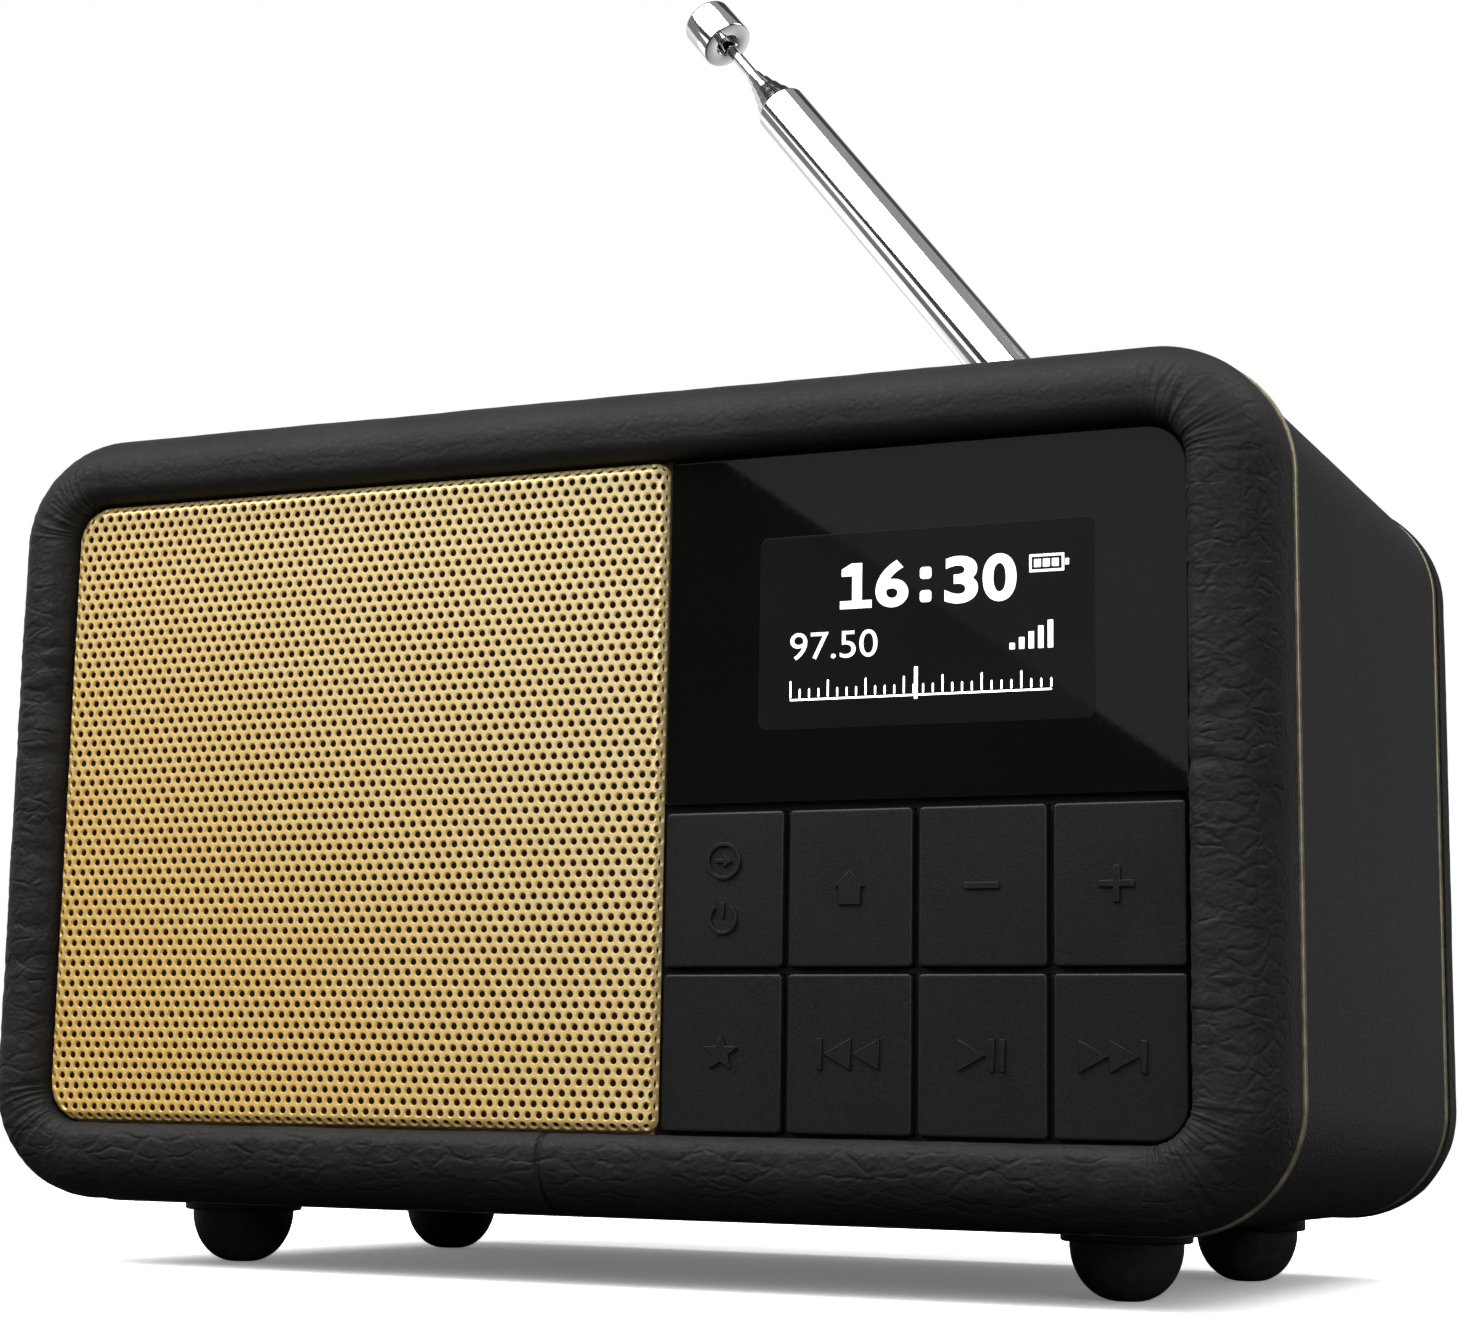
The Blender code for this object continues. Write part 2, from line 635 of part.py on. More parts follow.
def make_antenna(middle):
    """The telescopic antenna: a swivel on the rear panel, a hinge in its fork, and five tubes with a rod."""
    facing_rear = (-pi / 2, 0, 0)
    bezel_y = PANEL_OUTER + GAP
    disc_y = bezel_y + 0.0036
    place = (HINGE.x, 0, HINGE.z)
    bezel = [
        (0.0034, bezel_y),
        (0.0076, bezel_y),
        (0.0076, disc_y - GAP - 0.0006),
        (0.0070, disc_y - GAP),
        (0.0034, disc_y - GAP),
    ]
    part("antenna_bezel", turned(bezel, 24, hollow=True), CHROME, middle, place, facing_rear)

    swivel = empty("antenna_swivel_axis", HINGE, (0, -LEAN, 0), middle)
    disc_thick = 0.0030
    stem_end = PANEL_INNER - 0.0036
    hinge_y = HINGE.y
    profile = [
        (0, stem_end - hinge_y),
        (0.0031, stem_end - hinge_y),
        (0.0031, disc_y - hinge_y),
        (0.0070, disc_y - hinge_y),
        (0.0070, disc_y + disc_thick - 0.0006 - hinge_y),
        (0.0064, disc_y + disc_thick - hinge_y),
        (0, disc_y + disc_thick - hinge_y),
    ]
    fork = part("antenna_fork", turned(profile, 24), CHROME, swivel, (0, 0, 0), facing_rear)
    tang_half, ear_thick, ear_radius = 0.0016, 0.0020, 0.0036
    for side, name in ((-1, "near"), (1, "far")):
        near = side * (tang_half + GAP)
        far = near + side * ear_thick
        foot_level = disc_y + disc_thick - 0.0010 - hinge_y
        outline = [(foot_level, -ear_radius)]
        outline += arc((0, 0), (ear_radius, ear_radius), -90, 90, 8)
        outline.append((foot_level, ear_radius))
        rings = [[(x, y, z) for y, z in outline] for x in (near, far)]
        boolean(fork, cutter(f"ear_{name}", skin_rings(rings), swivel), "UNION")
    pin_hole = turned(from_axis(0.0015, 0.0015, -0.006, 0.006), 12)
    along_x = (0, pi / 2, 0)
    boolean(fork, cutter("fork_pin_hole", pin_hole, swivel, (0, 0, 0), along_x), "DIFFERENCE")
    head = tang_half + GAP + ear_thick + GAP
    pin = [
        (0, -head - 0.0008),
        (0.0019, -head - 0.0008),
        (0.0019, -head),
        (0.0012, -head),
        (0.0012, head),
        (0.0019, head),
        (0.0019, head + 0.0008),
        (0, head + 0.0008),
    ]
    part("antenna_pin", turned(pin, 12), CHROME, swivel, (0, 0, 0), along_x)
    nut_y = PANEL_INNER - GAP - hinge_y
    nut = [(0.0034, nut_y - 0.0024), (0.0060, nut_y - 0.0024), (0.0060, nut_y), (0.0034, nut_y)]
    part("antenna_nut", turned(nut, 6 * 3, hollow=True), CHROME, swivel, (0, 0, 0), facing_rear)

    arm = empty("antenna_tilt_axis", (0, 0, 0), (-TILT, 0, 0), swivel)
    collar_start, collar_end = 0.0085, FIRST_TUBE_START - GAP
    collar = [
        (0, collar_start),
        (0.0042, collar_start),
        (0.0049, collar_start + 0.0007),
        (0.0049, collar_end),
        (0, collar_end),
    ]
    knuckle = part("antenna_knuckle", turned(collar, 24), CHROME, arm)
    outline = [(-ear_radius, collar_start + 0.001)]
    outline += arc((0, 0), (ear_radius, ear_radius), 180, 360, 8)
    outline.append((ear_radius, collar_start + 0.001))
    rings = [[(x, y, z) for y, z in outline] for x in (-tang_half, tang_half)]
    boolean(knuckle, cutter("tang", skin_rings(rings), arm), "UNION")
    tang_hole = turned(from_axis(0.0015, 0.0015, -0.006, 0.006), 12)
    boolean(knuckle, cutter("tang_hole", tang_hole, arm, (0, 0, 0), along_x), "DIFFERENCE")

    for number, (radius, wall) in enumerate(zip(TUBE_RADII, TUBE_WALLS)):
        start = FIRST_TUBE_START + 0.0003 + (number + 0.3) * TUBE_START_STEP
        end = FIRST_TUBE_END + number * TUBE_STEP
        bore = radius - wall
        profile = [(bore, start), (radius, start), (radius, end), (bore, end)]
        hollow = True
        if number == 0:
            profile = [
                (0, FIRST_TUBE_START),
                (radius, FIRST_TUBE_START),
                (radius, end),
                (bore, end),
                (bore, FIRST_TUBE_START + 0.0015),
                (0, FIRST_TUBE_START + 0.0015),
            ]
            hollow = False
        part(f"antenna_tube_{number + 1}", turned(profile, 20, hollow), CHROME, arm)
    rod_end = TIP_START + 0.0043
    part("antenna_rod", turned(from_axis(ROD_RADIUS, ROD_RADIUS, ROD_START, rod_end), 12), CHROME, arm)
    hole, cup = ROD_RADIUS + GAP, 0.0032
    tip = [
        (0, rod_end + GAP),
        (hole, rod_end + GAP),
        (hole, TIP_START + 0.0022),
        (cup, TIP_START + 0.0022),
        (cup, TIP_START),
        (TIP_RADIUS - 0.0005, TIP_START),
        (TIP_RADIUS, TIP_START + 0.0005),
        (TIP_RADIUS, TIP_END - 0.0006),
        (TIP_RADIUS - 0.0006, TIP_END),
        (0, TIP_END),
    ]
    part("antenna_tip", turned(tip, 20), CHROME, arm)


def main():
    clear_scene()
    middle = empty("cabinet_middle", (0, MIDDLE_Y, MIDDLE_Z))
    make_cabinet(middle)
    make_frames(middle)
    make_front_panel(middle)
    make_keypad(middle)
    make_speaker(middle)
    make_inside(middle)
    make_rear_panel(middle)
    make_feet(middle)
    make_antenna(middle)


main()
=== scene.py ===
import json
from math import atan2, cos, hypot, pi, radians, sin

import bmesh
import bpy
import numpy as np
from mathutils import Matrix, Vector, noise


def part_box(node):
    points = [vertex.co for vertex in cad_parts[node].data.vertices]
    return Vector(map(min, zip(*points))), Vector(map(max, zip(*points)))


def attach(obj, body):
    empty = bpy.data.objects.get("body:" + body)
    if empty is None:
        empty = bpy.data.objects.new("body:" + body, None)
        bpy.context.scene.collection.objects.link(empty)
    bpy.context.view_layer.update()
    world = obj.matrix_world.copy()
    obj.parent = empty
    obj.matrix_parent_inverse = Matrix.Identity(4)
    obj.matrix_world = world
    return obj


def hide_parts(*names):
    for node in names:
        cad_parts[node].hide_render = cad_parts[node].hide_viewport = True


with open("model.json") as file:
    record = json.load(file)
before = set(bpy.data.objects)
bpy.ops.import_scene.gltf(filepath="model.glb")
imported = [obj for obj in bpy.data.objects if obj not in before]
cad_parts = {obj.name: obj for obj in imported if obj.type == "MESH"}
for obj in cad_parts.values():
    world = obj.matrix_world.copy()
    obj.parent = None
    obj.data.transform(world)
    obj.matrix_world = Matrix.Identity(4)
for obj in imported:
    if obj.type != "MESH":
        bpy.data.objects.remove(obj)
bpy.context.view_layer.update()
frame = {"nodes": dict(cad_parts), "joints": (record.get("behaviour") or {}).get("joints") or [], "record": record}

# Places read from the frame, in metres. "Middle" is the middle of the cabinet.
SKIN_LOW, SKIN_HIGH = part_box("front_frame_leather")
GRILLE_LOW, GRILLE_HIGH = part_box("speaker_grille")
WINDOW_LOW, WINDOW_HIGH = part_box("display_window")
GAP = 0.0003  # clearance between neighbouring pieces
MIDDLE_X = (SKIN_LOW.x + SKIN_HIGH.x) / 2
MIDDLE_Z = (SKIN_LOW.z + SKIN_HIGH.z) / 2
MIDDLE_Y = (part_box("front_piping")[0].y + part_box("rear_piping")[1].y) / 2
BAND = GRILLE_LOW.x - GAP - SKIN_LOW.x  # width of the leather frame round the opening
OPENING_X = SKIN_HIGH.x - MIDDLE_X - BAND
OPENING_Z = SKIN_HIGH.z - MIDDLE_Z - BAND
OPENING_RADIUS = 0.0054

# The leather frame's cross-section: depths from the middle plane, widths from the opening's edge
CREST = MIDDLE_Y - SKIN_LOW.y
LIP = 0.0542  # depth of the leather's edge inside the opening
ROLL_START = 0.050  # depth where the outer roll meets the straight side
SKIN_END = 0.0465  # depth of the leather's edge beside the piping
CRESTED_FROM = 0.0024  # the crest is flat between these two widths
CRESTED_TO = 0.0036
LEATHER = 0.0010  # thickness

FACING_REAR = Matrix.Rotation(-pi / 2, 4, "X")  # takes Z to +Y


# ---------------------------------------------------------------- helpers


def link(name, mesh):
    made = bpy.data.objects.new(name, mesh)
    bpy.context.scene.collection.objects.link(made)
    return made


def smooth(mesh, angle):
    """Smooth shading, except where two faces meet at more than the angle in degrees."""
    mesh.shade_smooth()
    mesh.set_sharp_from_angle(angle=radians(angle))


def evaluated_mesh(made):
    """A new mesh of an object as its modifiers or its font leave it."""
    bpy.context.view_layer.update()
    evaluated = made.evaluated_get(bpy.context.evaluated_depsgraph_get())
    return bpy.data.meshes.new_from_object(evaluated)


def mesh_from(name, points, faces, angle):
    mesh = bpy.data.meshes.new(name)
    mesh.from_pydata([tuple(p) for p in points], [], [tuple(f) for f in faces])
    mesh.update()
    builder = bmesh.new()
    builder.from_mesh(mesh)
    bmesh.ops.recalc_face_normals(builder, faces=builder.faces)
    builder.to_mesh(mesh)
    builder.free()
    smooth(mesh, angle)
    return mesh


def lattice(name, points, wrap_rows=True, angle=35):
    """An object over points (rows, columns, 3), closed on itself, or capped where its rows don't wrap."""
    rows, columns = points.shape[:2]
    index = np.arange(rows * columns).reshape(rows, columns)
    below = index if wrap_rows else index[:-1]
    above = np.roll(index, -1, 0) if wrap_rows else index[1:]
    corners = [below, np.roll(below, -1, 1), np.roll(above, -1, 1), above]
    faces = np.stack(corners, -1).reshape(-1, 4).tolist()
    if not wrap_rows:
        faces.append(index[0].tolist())
        faces.append(index[-1].tolist())
    return link(name, mesh_from(name, points.reshape(-1, 3), faces, angle))


def arc(centre, radii, start, end, steps):
    angles = np.radians(np.linspace(start, end, steps + 1))
    return [(centre[0] + radii[0] * cos(a), centre[1] + radii[1] * sin(a)) for a in angles]


def rectangle(left, right, foot, top):
    return (left, foot), (right, foot), (right, top), (left, top)


def rounded(low, high, radii, steps):
    """A rectangle's outline with round corners: top right, top left, bottom left, bottom right."""
    corners = (
        (high[0], high[1], -1, -1),
        (low[0], high[1], 1, -1),
        (low[0], low[1], 1, 1),
        (high[0], low[1], -1, 1),
    )
    points = []
    for quarter, ((x, z, inward_x, inward_z), radius) in enumerate(zip(corners, radii)):
        centre = (x + inward_x * radius, z + inward_z * radius)
        points += arc(centre, (radius, radius), 90 * quarter, 90 * quarter + 90, steps)
    return points


def stacked(name, low, high, radii, rings, steps, angle=40):
    """A solid along Y from round-cornered outlines, each drawn in by an amount and set at a depth."""
    least_radius = 0.00003
    points = []
    for amount, y in rings:
        new_low = (low[0] + amount, low[1] + amount)
        new_high = (high[0] - amount, high[1] - amount)
        outline = rounded(new_low, new_high, [max(r - amount, least_radius) for r in radii], steps)
        points.append([(x, y, z) for x, z in outline])
    return lattice(name, np.array(points), wrap_rows=False, angle=angle)


def slab(name, low, high, radii, front, back, edge, steps=10, edge_steps=4):
    """A plate facing -Y between two depths, with round corners and a soft front edge."""
    inset = 0.0002  # keeps the flat face's outline inside the soft edge
    rings = [(edge + inset, front)]
    rings += [(edge - x, front + edge - y) for x, y in arc((0, 0), (edge, edge), 90, 0, edge_steps)]
    rings += [(0, back)]
    return stacked(name, low, high, radii, rings, steps)


def turned(name, profile, sides, matrix, angle=35):
    """A solid turned about Z from (radius, height) points. A profile that starts off the axis is a loop."""
    loop = profile[0][0] > 0
    rings = profile if loop else profile[1:-1]
    turn = np.linspace(0, 2 * pi, sides, endpoint=False)
    points = np.array([[(r * cos(a), r * sin(a), h) for a in turn] for r, h in rings])
    made = lattice(name, points, wrap_rows=loop, angle=angle)
    made.data.transform(matrix)
    return made


def eased(profile, radius, steps=4):
    """The same open profile with its inner corners rounded."""
    out = [profile[0]]
    for before, here, after in zip(profile[:-2], profile[1:-1], profile[2:]):
        a, b, c = (np.array(p, float) for p in (before, here, after))
        to_a, to_c = a - b, c - b
        reach = min(radius, 0.45 * np.linalg.norm(to_a), 0.45 * np.linalg.norm(to_c))
        start = b + to_a / np.linalg.norm(to_a) * reach
        end = b + to_c / np.linalg.norm(to_c) * reach
        for t in np.linspace(0, 1, steps + 1):
            out.append(tuple((1 - t) ** 2 * start + 2 * t * (1 - t) * b + t * t * end))
    out.append(profile[-1])
    return out


def extruded(name, outline, start, end, to_point):
    """A prism over a flat outline; to_point turns (u, v, level) into a point."""
    points = np.array([[to_point(u, v, level) for u, v in outline] for level in (start, end)])
    return lattice(name, points, wrap_rows=False)


def combine(target, tool, operation):
    """Applies one Boolean and removes the tool."""
    modifier = target.modifiers.new("join", "BOOLEAN")
    modifier.object = tool
    modifier.operation = operation
    modifier.solver = "EXACT"
    mesh = evaluated_mesh(target)
    target.modifiers.clear()
    target.data = mesh
    bpy.data.objects.remove(tool, do_unlink=True)
    smooth(mesh, 30)


def gather(name, parts):
    """One object from several separate bodies."""
    builder = bmesh.new()
    for part in parts:
        builder.from_mesh(part.data)
        bpy.data.objects.remove(part, do_unlink=True)
    mesh = bpy.data.meshes.new(name)
    builder.to_mesh(mesh)
    builder.free()
    smooth(mesh, 35)
    return link(name, mesh)


def soften(made, width, segments=2):
    """Rounds a piece's sharp edges."""
    modifier = made.modifiers.new("soft_edges", "BEVEL")
    modifier.width = width
    modifier.segments = segments
    modifier.limit_method = "ANGLE"
    modifier.angle_limit = radians(40)
    modifier.harden_normals = False


def value(x, y, z, scale=1.0):
    return noise.noise(Vector((x * scale, y * scale, z * scale)))


# ---------------------------------------------------------------- materials


class Nodes:
    """A node tree, with short calls for the nodes used here."""

    def __init__(self, tree):
        self.tree = tree

    def feed(self, socket, source):
        """Links another node's output to a socket, or sets the socket's own value."""
        if isinstance(source, bpy.types.NodeSocket):
            self.tree.links.new(source, socket)
        else:
            socket.default_value = source

    def made(self, kind, output, sockets, **settings):
        """One output of a new node. Inputs and outputs go by name or number."""
        node = self.tree.nodes.new(kind)
        for key, setting in settings.items():
            setattr(node, key, setting)
        for socket, source in sockets.items():
            self.feed(node.inputs[socket], source)
        return node.outputs[output]

    def ramp(self, source, low, high, out_low=0.0, out_high=1.0):
        sockets = {"Value": source, "From Min": low, "From Max": high, "To Min": out_low, "To Max": out_high}
        return self.made("ShaderNodeMapRange", "Result", sockets, interpolation_type="SMOOTHSTEP")

    def sum(self, first, second, operation="ADD"):
        return self.made("ShaderNodeMath", 0, {0: first, 1: second}, operation=operation)


class Shader(Nodes):
    """A material with a Principled BSDF, patterned by where a point is on the object."""

    def __init__(self, name, colour, roughness, metallic=0.0, **sockets):
        self.material = bpy.data.materials.new(name)
        self.material.use_nodes = True
        super().__init__(self.material.node_tree)
        self.main = self.tree.nodes["Principled BSDF"]
        self.main.inputs["Base Color"].default_value = (*colour, 1)
        self.main.inputs["Roughness"].default_value = roughness
        self.main.inputs["Metallic"].default_value = metallic
        for socket, number in sockets.items():
            self.main.inputs[socket.replace("_", " ")].default_value = number
        self.where = self.made("ShaderNodeTexCoord", "Object", {})

    def noise(self, scale, detail=4.0, roughness=0.55, where=None, output="Fac"):
        sockets = {"Vector": where or self.where, "Scale": scale, "Detail": detail, "Roughness": roughness}
        return self.made("ShaderNodeTexNoise", output, sockets)

    def stretched(self, scale, where=None):
        return self.made("ShaderNodeMapping", "Vector", {"Vector": where or self.where, "Scale": scale})

    def warped(self, scale, amount):
        """The place, pushed about by noise, so that a pattern loses its regular look."""
        colours = self.noise(scale, 2.0, 0.5, output="Color")
        offset = self.made("ShaderNodeVectorMath", 0, {0: colours, 1: (0.5, 0.5, 0.5)}, operation="SUBTRACT")
        sockets = {0: offset, 1: (amount, amount, amount), 2: self.where}
        return self.made("ShaderNodeVectorMath", 0, sockets, operation="MULTIPLY_ADD")

    def cells(self, scale, where=None):
        """How far a point is from the edges of an irregular mosaic."""
        sockets = {"Vector": where or self.where, "Scale": scale}
        return self.made("ShaderNodeTexVoronoi", "Distance", sockets, feature="DISTANCE_TO_EDGE")

    def blend(self, factor, low, high):
        sockets = {"Factor": factor}
        for name, colour in (("A", low), ("B", high)):
            sockets[name] = colour if isinstance(colour, bpy.types.NodeSocket) else (*colour, 1)
        return self.made("ShaderNodeMix", "Result", sockets, data_type="RGBA")

    def coordinate(self, axis):
        return self.made("ShaderNodeSeparateXYZ", axis, {0: self.where})

    def mottle(self, source, first, second, low=0.3, high=0.7):
        """Colours the surface from the first to the second colour as the source goes from low to high."""
        self.feed(self.main.inputs["Base Color"], self.blend(self.ramp(source, low, high), first, second))

    def rough(self, source):
        self.feed(self.main.inputs["Roughness"], source)

    def bump(self, height, distance):
        """Adds a bump whose full height is distance in metres; later ones go on top of earlier ones."""
        sockets = {"Height": height, "Distance": distance, "Strength": 1.0}
        before = self.main.inputs["Normal"].links
        if before:
            sockets["Normal"] = before[0].from_socket
        self.feed(self.main.inputs["Normal"], self.made("ShaderNodeBump", "Normal", sockets))


def brighter(colour, times):
    return tuple(times * c for c in colour)


def pebbled_leather():
    """Black leather with a soft pebble grain and short, broken creases that run left to right."""
    s = Shader("pebbled_leather", (0.0170, 0.0166, 0.0166), 0.5, Specular_IOR_Level=0.15)
    wandering = s.warped(260, 0.0022)
    creases = s.ramp(s.cells(430, s.stretched((0.45, 1, 1), wandering)), 0.0, 0.17)
    broken = s.ramp(s.noise(170, 2.0), 0.34, 0.56)
    creases = s.sum(creases, broken, "MULTIPLY")
    fine_creases = s.ramp(s.cells(900, s.stretched((0.6, 1, 1), s.warped(500, 0.0010))), 0.0, 0.30)
    top_edge = MIDDLE_Z + OPENING_Z
    creased = s.ramp(s.coordinate("Z"), top_edge - 0.006, top_edge, 1.0, 0.3)
    pebbles = s.ramp(s.cells(900, s.warped(420, 0.0006)), 0.0, 0.5)
    fine = s.noise(3200, 3.0)
    patches = s.noise(60, 3.0)
    s.mottle(patches, (0.0152, 0.0148, 0.0148), (0.0198, 0.0193, 0.0193))
    s.rough(s.sum(s.ramp(pebbles, 0, 1, 0.62, 0.52), s.ramp(fine, 0.3, 0.7, -0.04, 0.04)))
    s.bump(s.sum(creases, creased, "MULTIPLY"), 0.00010)
    s.bump(s.sum(fine_creases, creased, "MULTIPLY"), 0.00003)
    s.bump(pebbles, 0.00003)
    s.bump(fine, 0.00001)
    return s.material


def smooth_leather():
    s = Shader("smooth_leather", (0.0125, 0.0122, 0.0122), 0.55, Specular_IOR_Level=0.30)
    grain = s.ramp(s.cells(1500, s.warped(900, 0.0006)), 0.0, 0.3)
    fine = s.noise(4200, 2.0)
    patches = s.noise(35, 4.0)
    s.mottle(patches, (0.0090, 0.0088, 0.0088), (0.0120, 0.0117, 0.0117))
    s.rough(s.ramp(grain, 0, 1, 0.66, 0.56))
    s.bump(grain, 0.00004)
    s.bump(fine, 0.00002)
    return s.material


def gold_piping():
    s = Shader("gold_piping", (0.42, 0.34, 0.19), 0.38, 0.75)
    wear = s.noise(500, 4.0)
    s.mottle(wear, (0.22, 0.19, 0.13), (0.34, 0.30, 0.21), 0.35)
    s.rough(s.ramp(wear, 0.3, 0.7, 0.34, 0.50))
    s.bump(s.noise(1800, 2.0), 0.00003)
    return s.material


def gold_grille():
    """Anodised gold sheet with painted light: darker and browner towards its lower left, paler towards its upper
    right, as if lit from the upper right.
    """
    s = Shader("gold_grille", (0.85, 0.62, 0.25), 0.36, 0.27)
    across = s.sum(s.coordinate("X"), s.coordinate("Z"))
    # painted light and shade: this ramp runs from shaded brown at the lower left to lit pale gold at the upper
    # right
    painted_light_ramp = s.ramp(across, GRILLE_LOW.x + GRILLE_LOW.z, GRILLE_HIGH.x + GRILLE_HIGH.z)
    deep = s.blend(painted_light_ramp, (0.86, 0.54, 0.14), (0.94, 0.72, 0.33))
    pale = s.blend(painted_light_ramp, (0.92, 0.64, 0.21), (0.96, 0.80, 0.45))
    s.mottle(s.noise(420, 5.0, 0.7), deep, pale, 0.2, 0.8)
    speckle = s.noise(5200, 3.0)
    s.rough(s.ramp(speckle, 0.3, 0.7, 0.30, 0.46))
    s.bump(speckle, 0.00001)
    return s.material


def moulded_plastic(name, colour, roughness, grain=0.00002, shine=0.5):
    s = Shader(name, colour, roughness, Specular_IOR_Level=shine)
    texture = s.noise(3500, 3.0)
    patches = s.noise(80, 3.0)
    s.mottle(patches, colour, brighter(colour, 1.25))
    s.rough(s.ramp(texture, 0.3, 0.7, roughness - 0.05, roughness + 0.07))
    s.bump(texture, grain)
    return s.material


def window_gloss():
    s = Shader("window_gloss", (0.003, 0.003, 0.0025), 0.03)
    dust = s.noise(900, 3.0)
    s.rough(s.ramp(dust, 0.45, 0.75, 0.02, 0.05))
    s.mottle(s.noise(30, 2.0), (0.0028, 0.0028, 0.0023), (0.0034, 0.0034, 0.0029))
    return s.material


def screen_gloss():
    """The display's lit background, a little lighter than the window round it."""
    s = Shader("screen_gloss", (0.008, 0.008, 0.009), 0.03, Emission_Strength=1.0, Specular_IOR_Level=0.15)
    clouds = s.noise(40, 2.0)
    s.mottle(clouds, (0.006, 0.006, 0.007), (0.008, 0.008, 0.009))
    glow = s.blend(s.ramp(clouds, 0.3, 0.7), (0.0030, 0.0030, 0.0032), (0.0036, 0.0036, 0.0039))
    s.feed(s.main.inputs["Emission Color"], glow)
    return s.material


def lit_marks():
    s = Shader("lit_marks", (0.9, 0.9, 0.9), 0.3, Emission_Strength=1.0)
    glow = s.blend(s.ramp(s.noise(300, 2.0), 0.3, 0.7), (0.90, 0.92, 0.95), (1.0, 1.0, 1.0))
    s.feed(s.main.inputs["Emission Color"], glow)
    return s.material


def rubber(name, colour, roughness):
    s = Shader(name, colour, roughness)
    dust = s.noise(700, 4.0)
    s.mottle(dust, colour, brighter(colour, 1.5), 0.4, 0.75)
    s.rough(s.ramp(dust, 0.3, 0.7, roughness - 0.06, roughness + 0.1))
    s.bump(s.noise(2600, 3.0), 0.00003)
    return s.material


def chrome():
    s = Shader("chrome", (0.88, 0.88, 0.89), 0.1, 1.0)
    smudges = s.noise(70, 2.0)
    s.rough(s.ramp(smudges, 0.35, 0.75, 0.07, 0.10))
    s.mottle(smudges, (0.86, 0.86, 0.87), (0.92, 0.92, 0.93))
    return s.material


def metal(name, colour, roughness):
    s = Shader(name, colour, roughness, 1.0)
    marks = s.noise(400, 4.0)
    s.mottle(marks, colour, brighter(colour, 1.3))
    s.rough(s.ramp(marks, 0.3, 0.7, roughness - 0.06, roughness + 0.08))
    return s.material


def woven(name, colour, scale):
    s = Shader(name, colour, 0.9)
    threads = s.cells(scale)
    s.mottle(threads, colour, brighter(colour, 1.8), 0.0, 0.4)
    s.bump(threads, 0.0001)
    return s.material


def fibreboard():
    s = Shader("fibreboard", (0.30, 0.20, 0.12), 0.75)
    fibres = s.noise(600, 6.0, 0.7, s.stretched((1, 4, 4)))
    s.mottle(fibres, (0.24, 0.16, 0.09), (0.36, 0.25, 0.15))
    s.bump(fibres, 0.00005)
    return s.material


# ---------------------------------------------------------------- leather frames and cabinet

ROLL_MIDDLE = 0.005  # wrinkles are measured along a line this far out from the opening's edge
CORNER_REACH = 0.012  # the gathers fade out this far from a corner


def path_samples(spacing, corner_steps):
    """The opening's edge, anticlockwise from its right-hand side: points, outward directions, how far
    round each one is, and how much it belongs to a corner."""
    straight_x, straight_z = OPENING_X - OPENING_RADIUS, OPENING_Z - OPENING_RADIUS
    centres = ((1, 1), (-1, 1), (-1, -1), (1, -1))
    points, normals, corner = [], [], []
    for quarter, (side_x, side_z) in enumerate(centres):
        centre = np.array((side_x * straight_x, side_z * straight_z))
        for i in range(corner_steps):
            angle = pi / 2 * (quarter + i / corner_steps)
            normal = np.array((cos(angle), sin(angle)))
            points.append(centre + OPENING_RADIUS * normal)
            normals.append(normal)
            corner.append(1.0)
        angle = pi / 2 * (quarter + 1)
        normal = np.array((cos(angle), sin(angle)))
        next_x, next_z = centres[(quarter + 1) % 4]
        start = centre + OPENING_RADIUS * normal
        end = np.array((next_x * straight_x, next_z * straight_z)) + OPENING_RADIUS * normal
        count = int(np.linalg.norm(end - start) / spacing)
        for i in range(count):
            points.append(start + (end - start) * i / count)
            normals.append(normal)
            nearest = min(i, count - i) * spacing
            corner.append(max(0.0, 1.0 - nearest / CORNER_REACH) ** 2)
    points, normals = np.array(points), np.array(normals)
    outer = points + ROLL_MIDDLE * normals
    steps = np.linalg.norm(outer - np.roll(outer, 1, 0), axis=1)
    steps[0] = 0
    return points, normals, np.cumsum(steps), np.array(corner)


def frame_profile(drawn_in, detail):
    """The cross-section's (outwards, depth) points, from the opening over the crest to the outer side."""
    inner = CRESTED_FROM - drawn_in
    roll = (BAND - CRESTED_TO - drawn_in, CREST - ROLL_START - drawn_in)
    points = [(drawn_in, LIP), (drawn_in, (LIP + CREST - CRESTED_FROM) / 2)]
    points += arc((CRESTED_FROM, CREST - CRESTED_FROM), (inner, inner), 180, 90, 3 + 7 * detail)
    points.append(((CRESTED_FROM + CRESTED_TO) / 2, CREST - drawn_in))
    points += arc((CRESTED_TO, ROLL_START), roll, 90, 0, 4 + 24 * detail)
    side_steps = 1 + 7 * detail
    for i in range(1, side_steps + 1):
        points.append((BAND - drawn_in, ROLL_START + (SKIN_END - ROLL_START) * i / side_steps))
    return np.array(points)


def ridges(a, b, c):
    """Soft ridges with narrow valleys, from -1 to 1."""
    return 1 - 3.2 * abs(value(a, b, c))


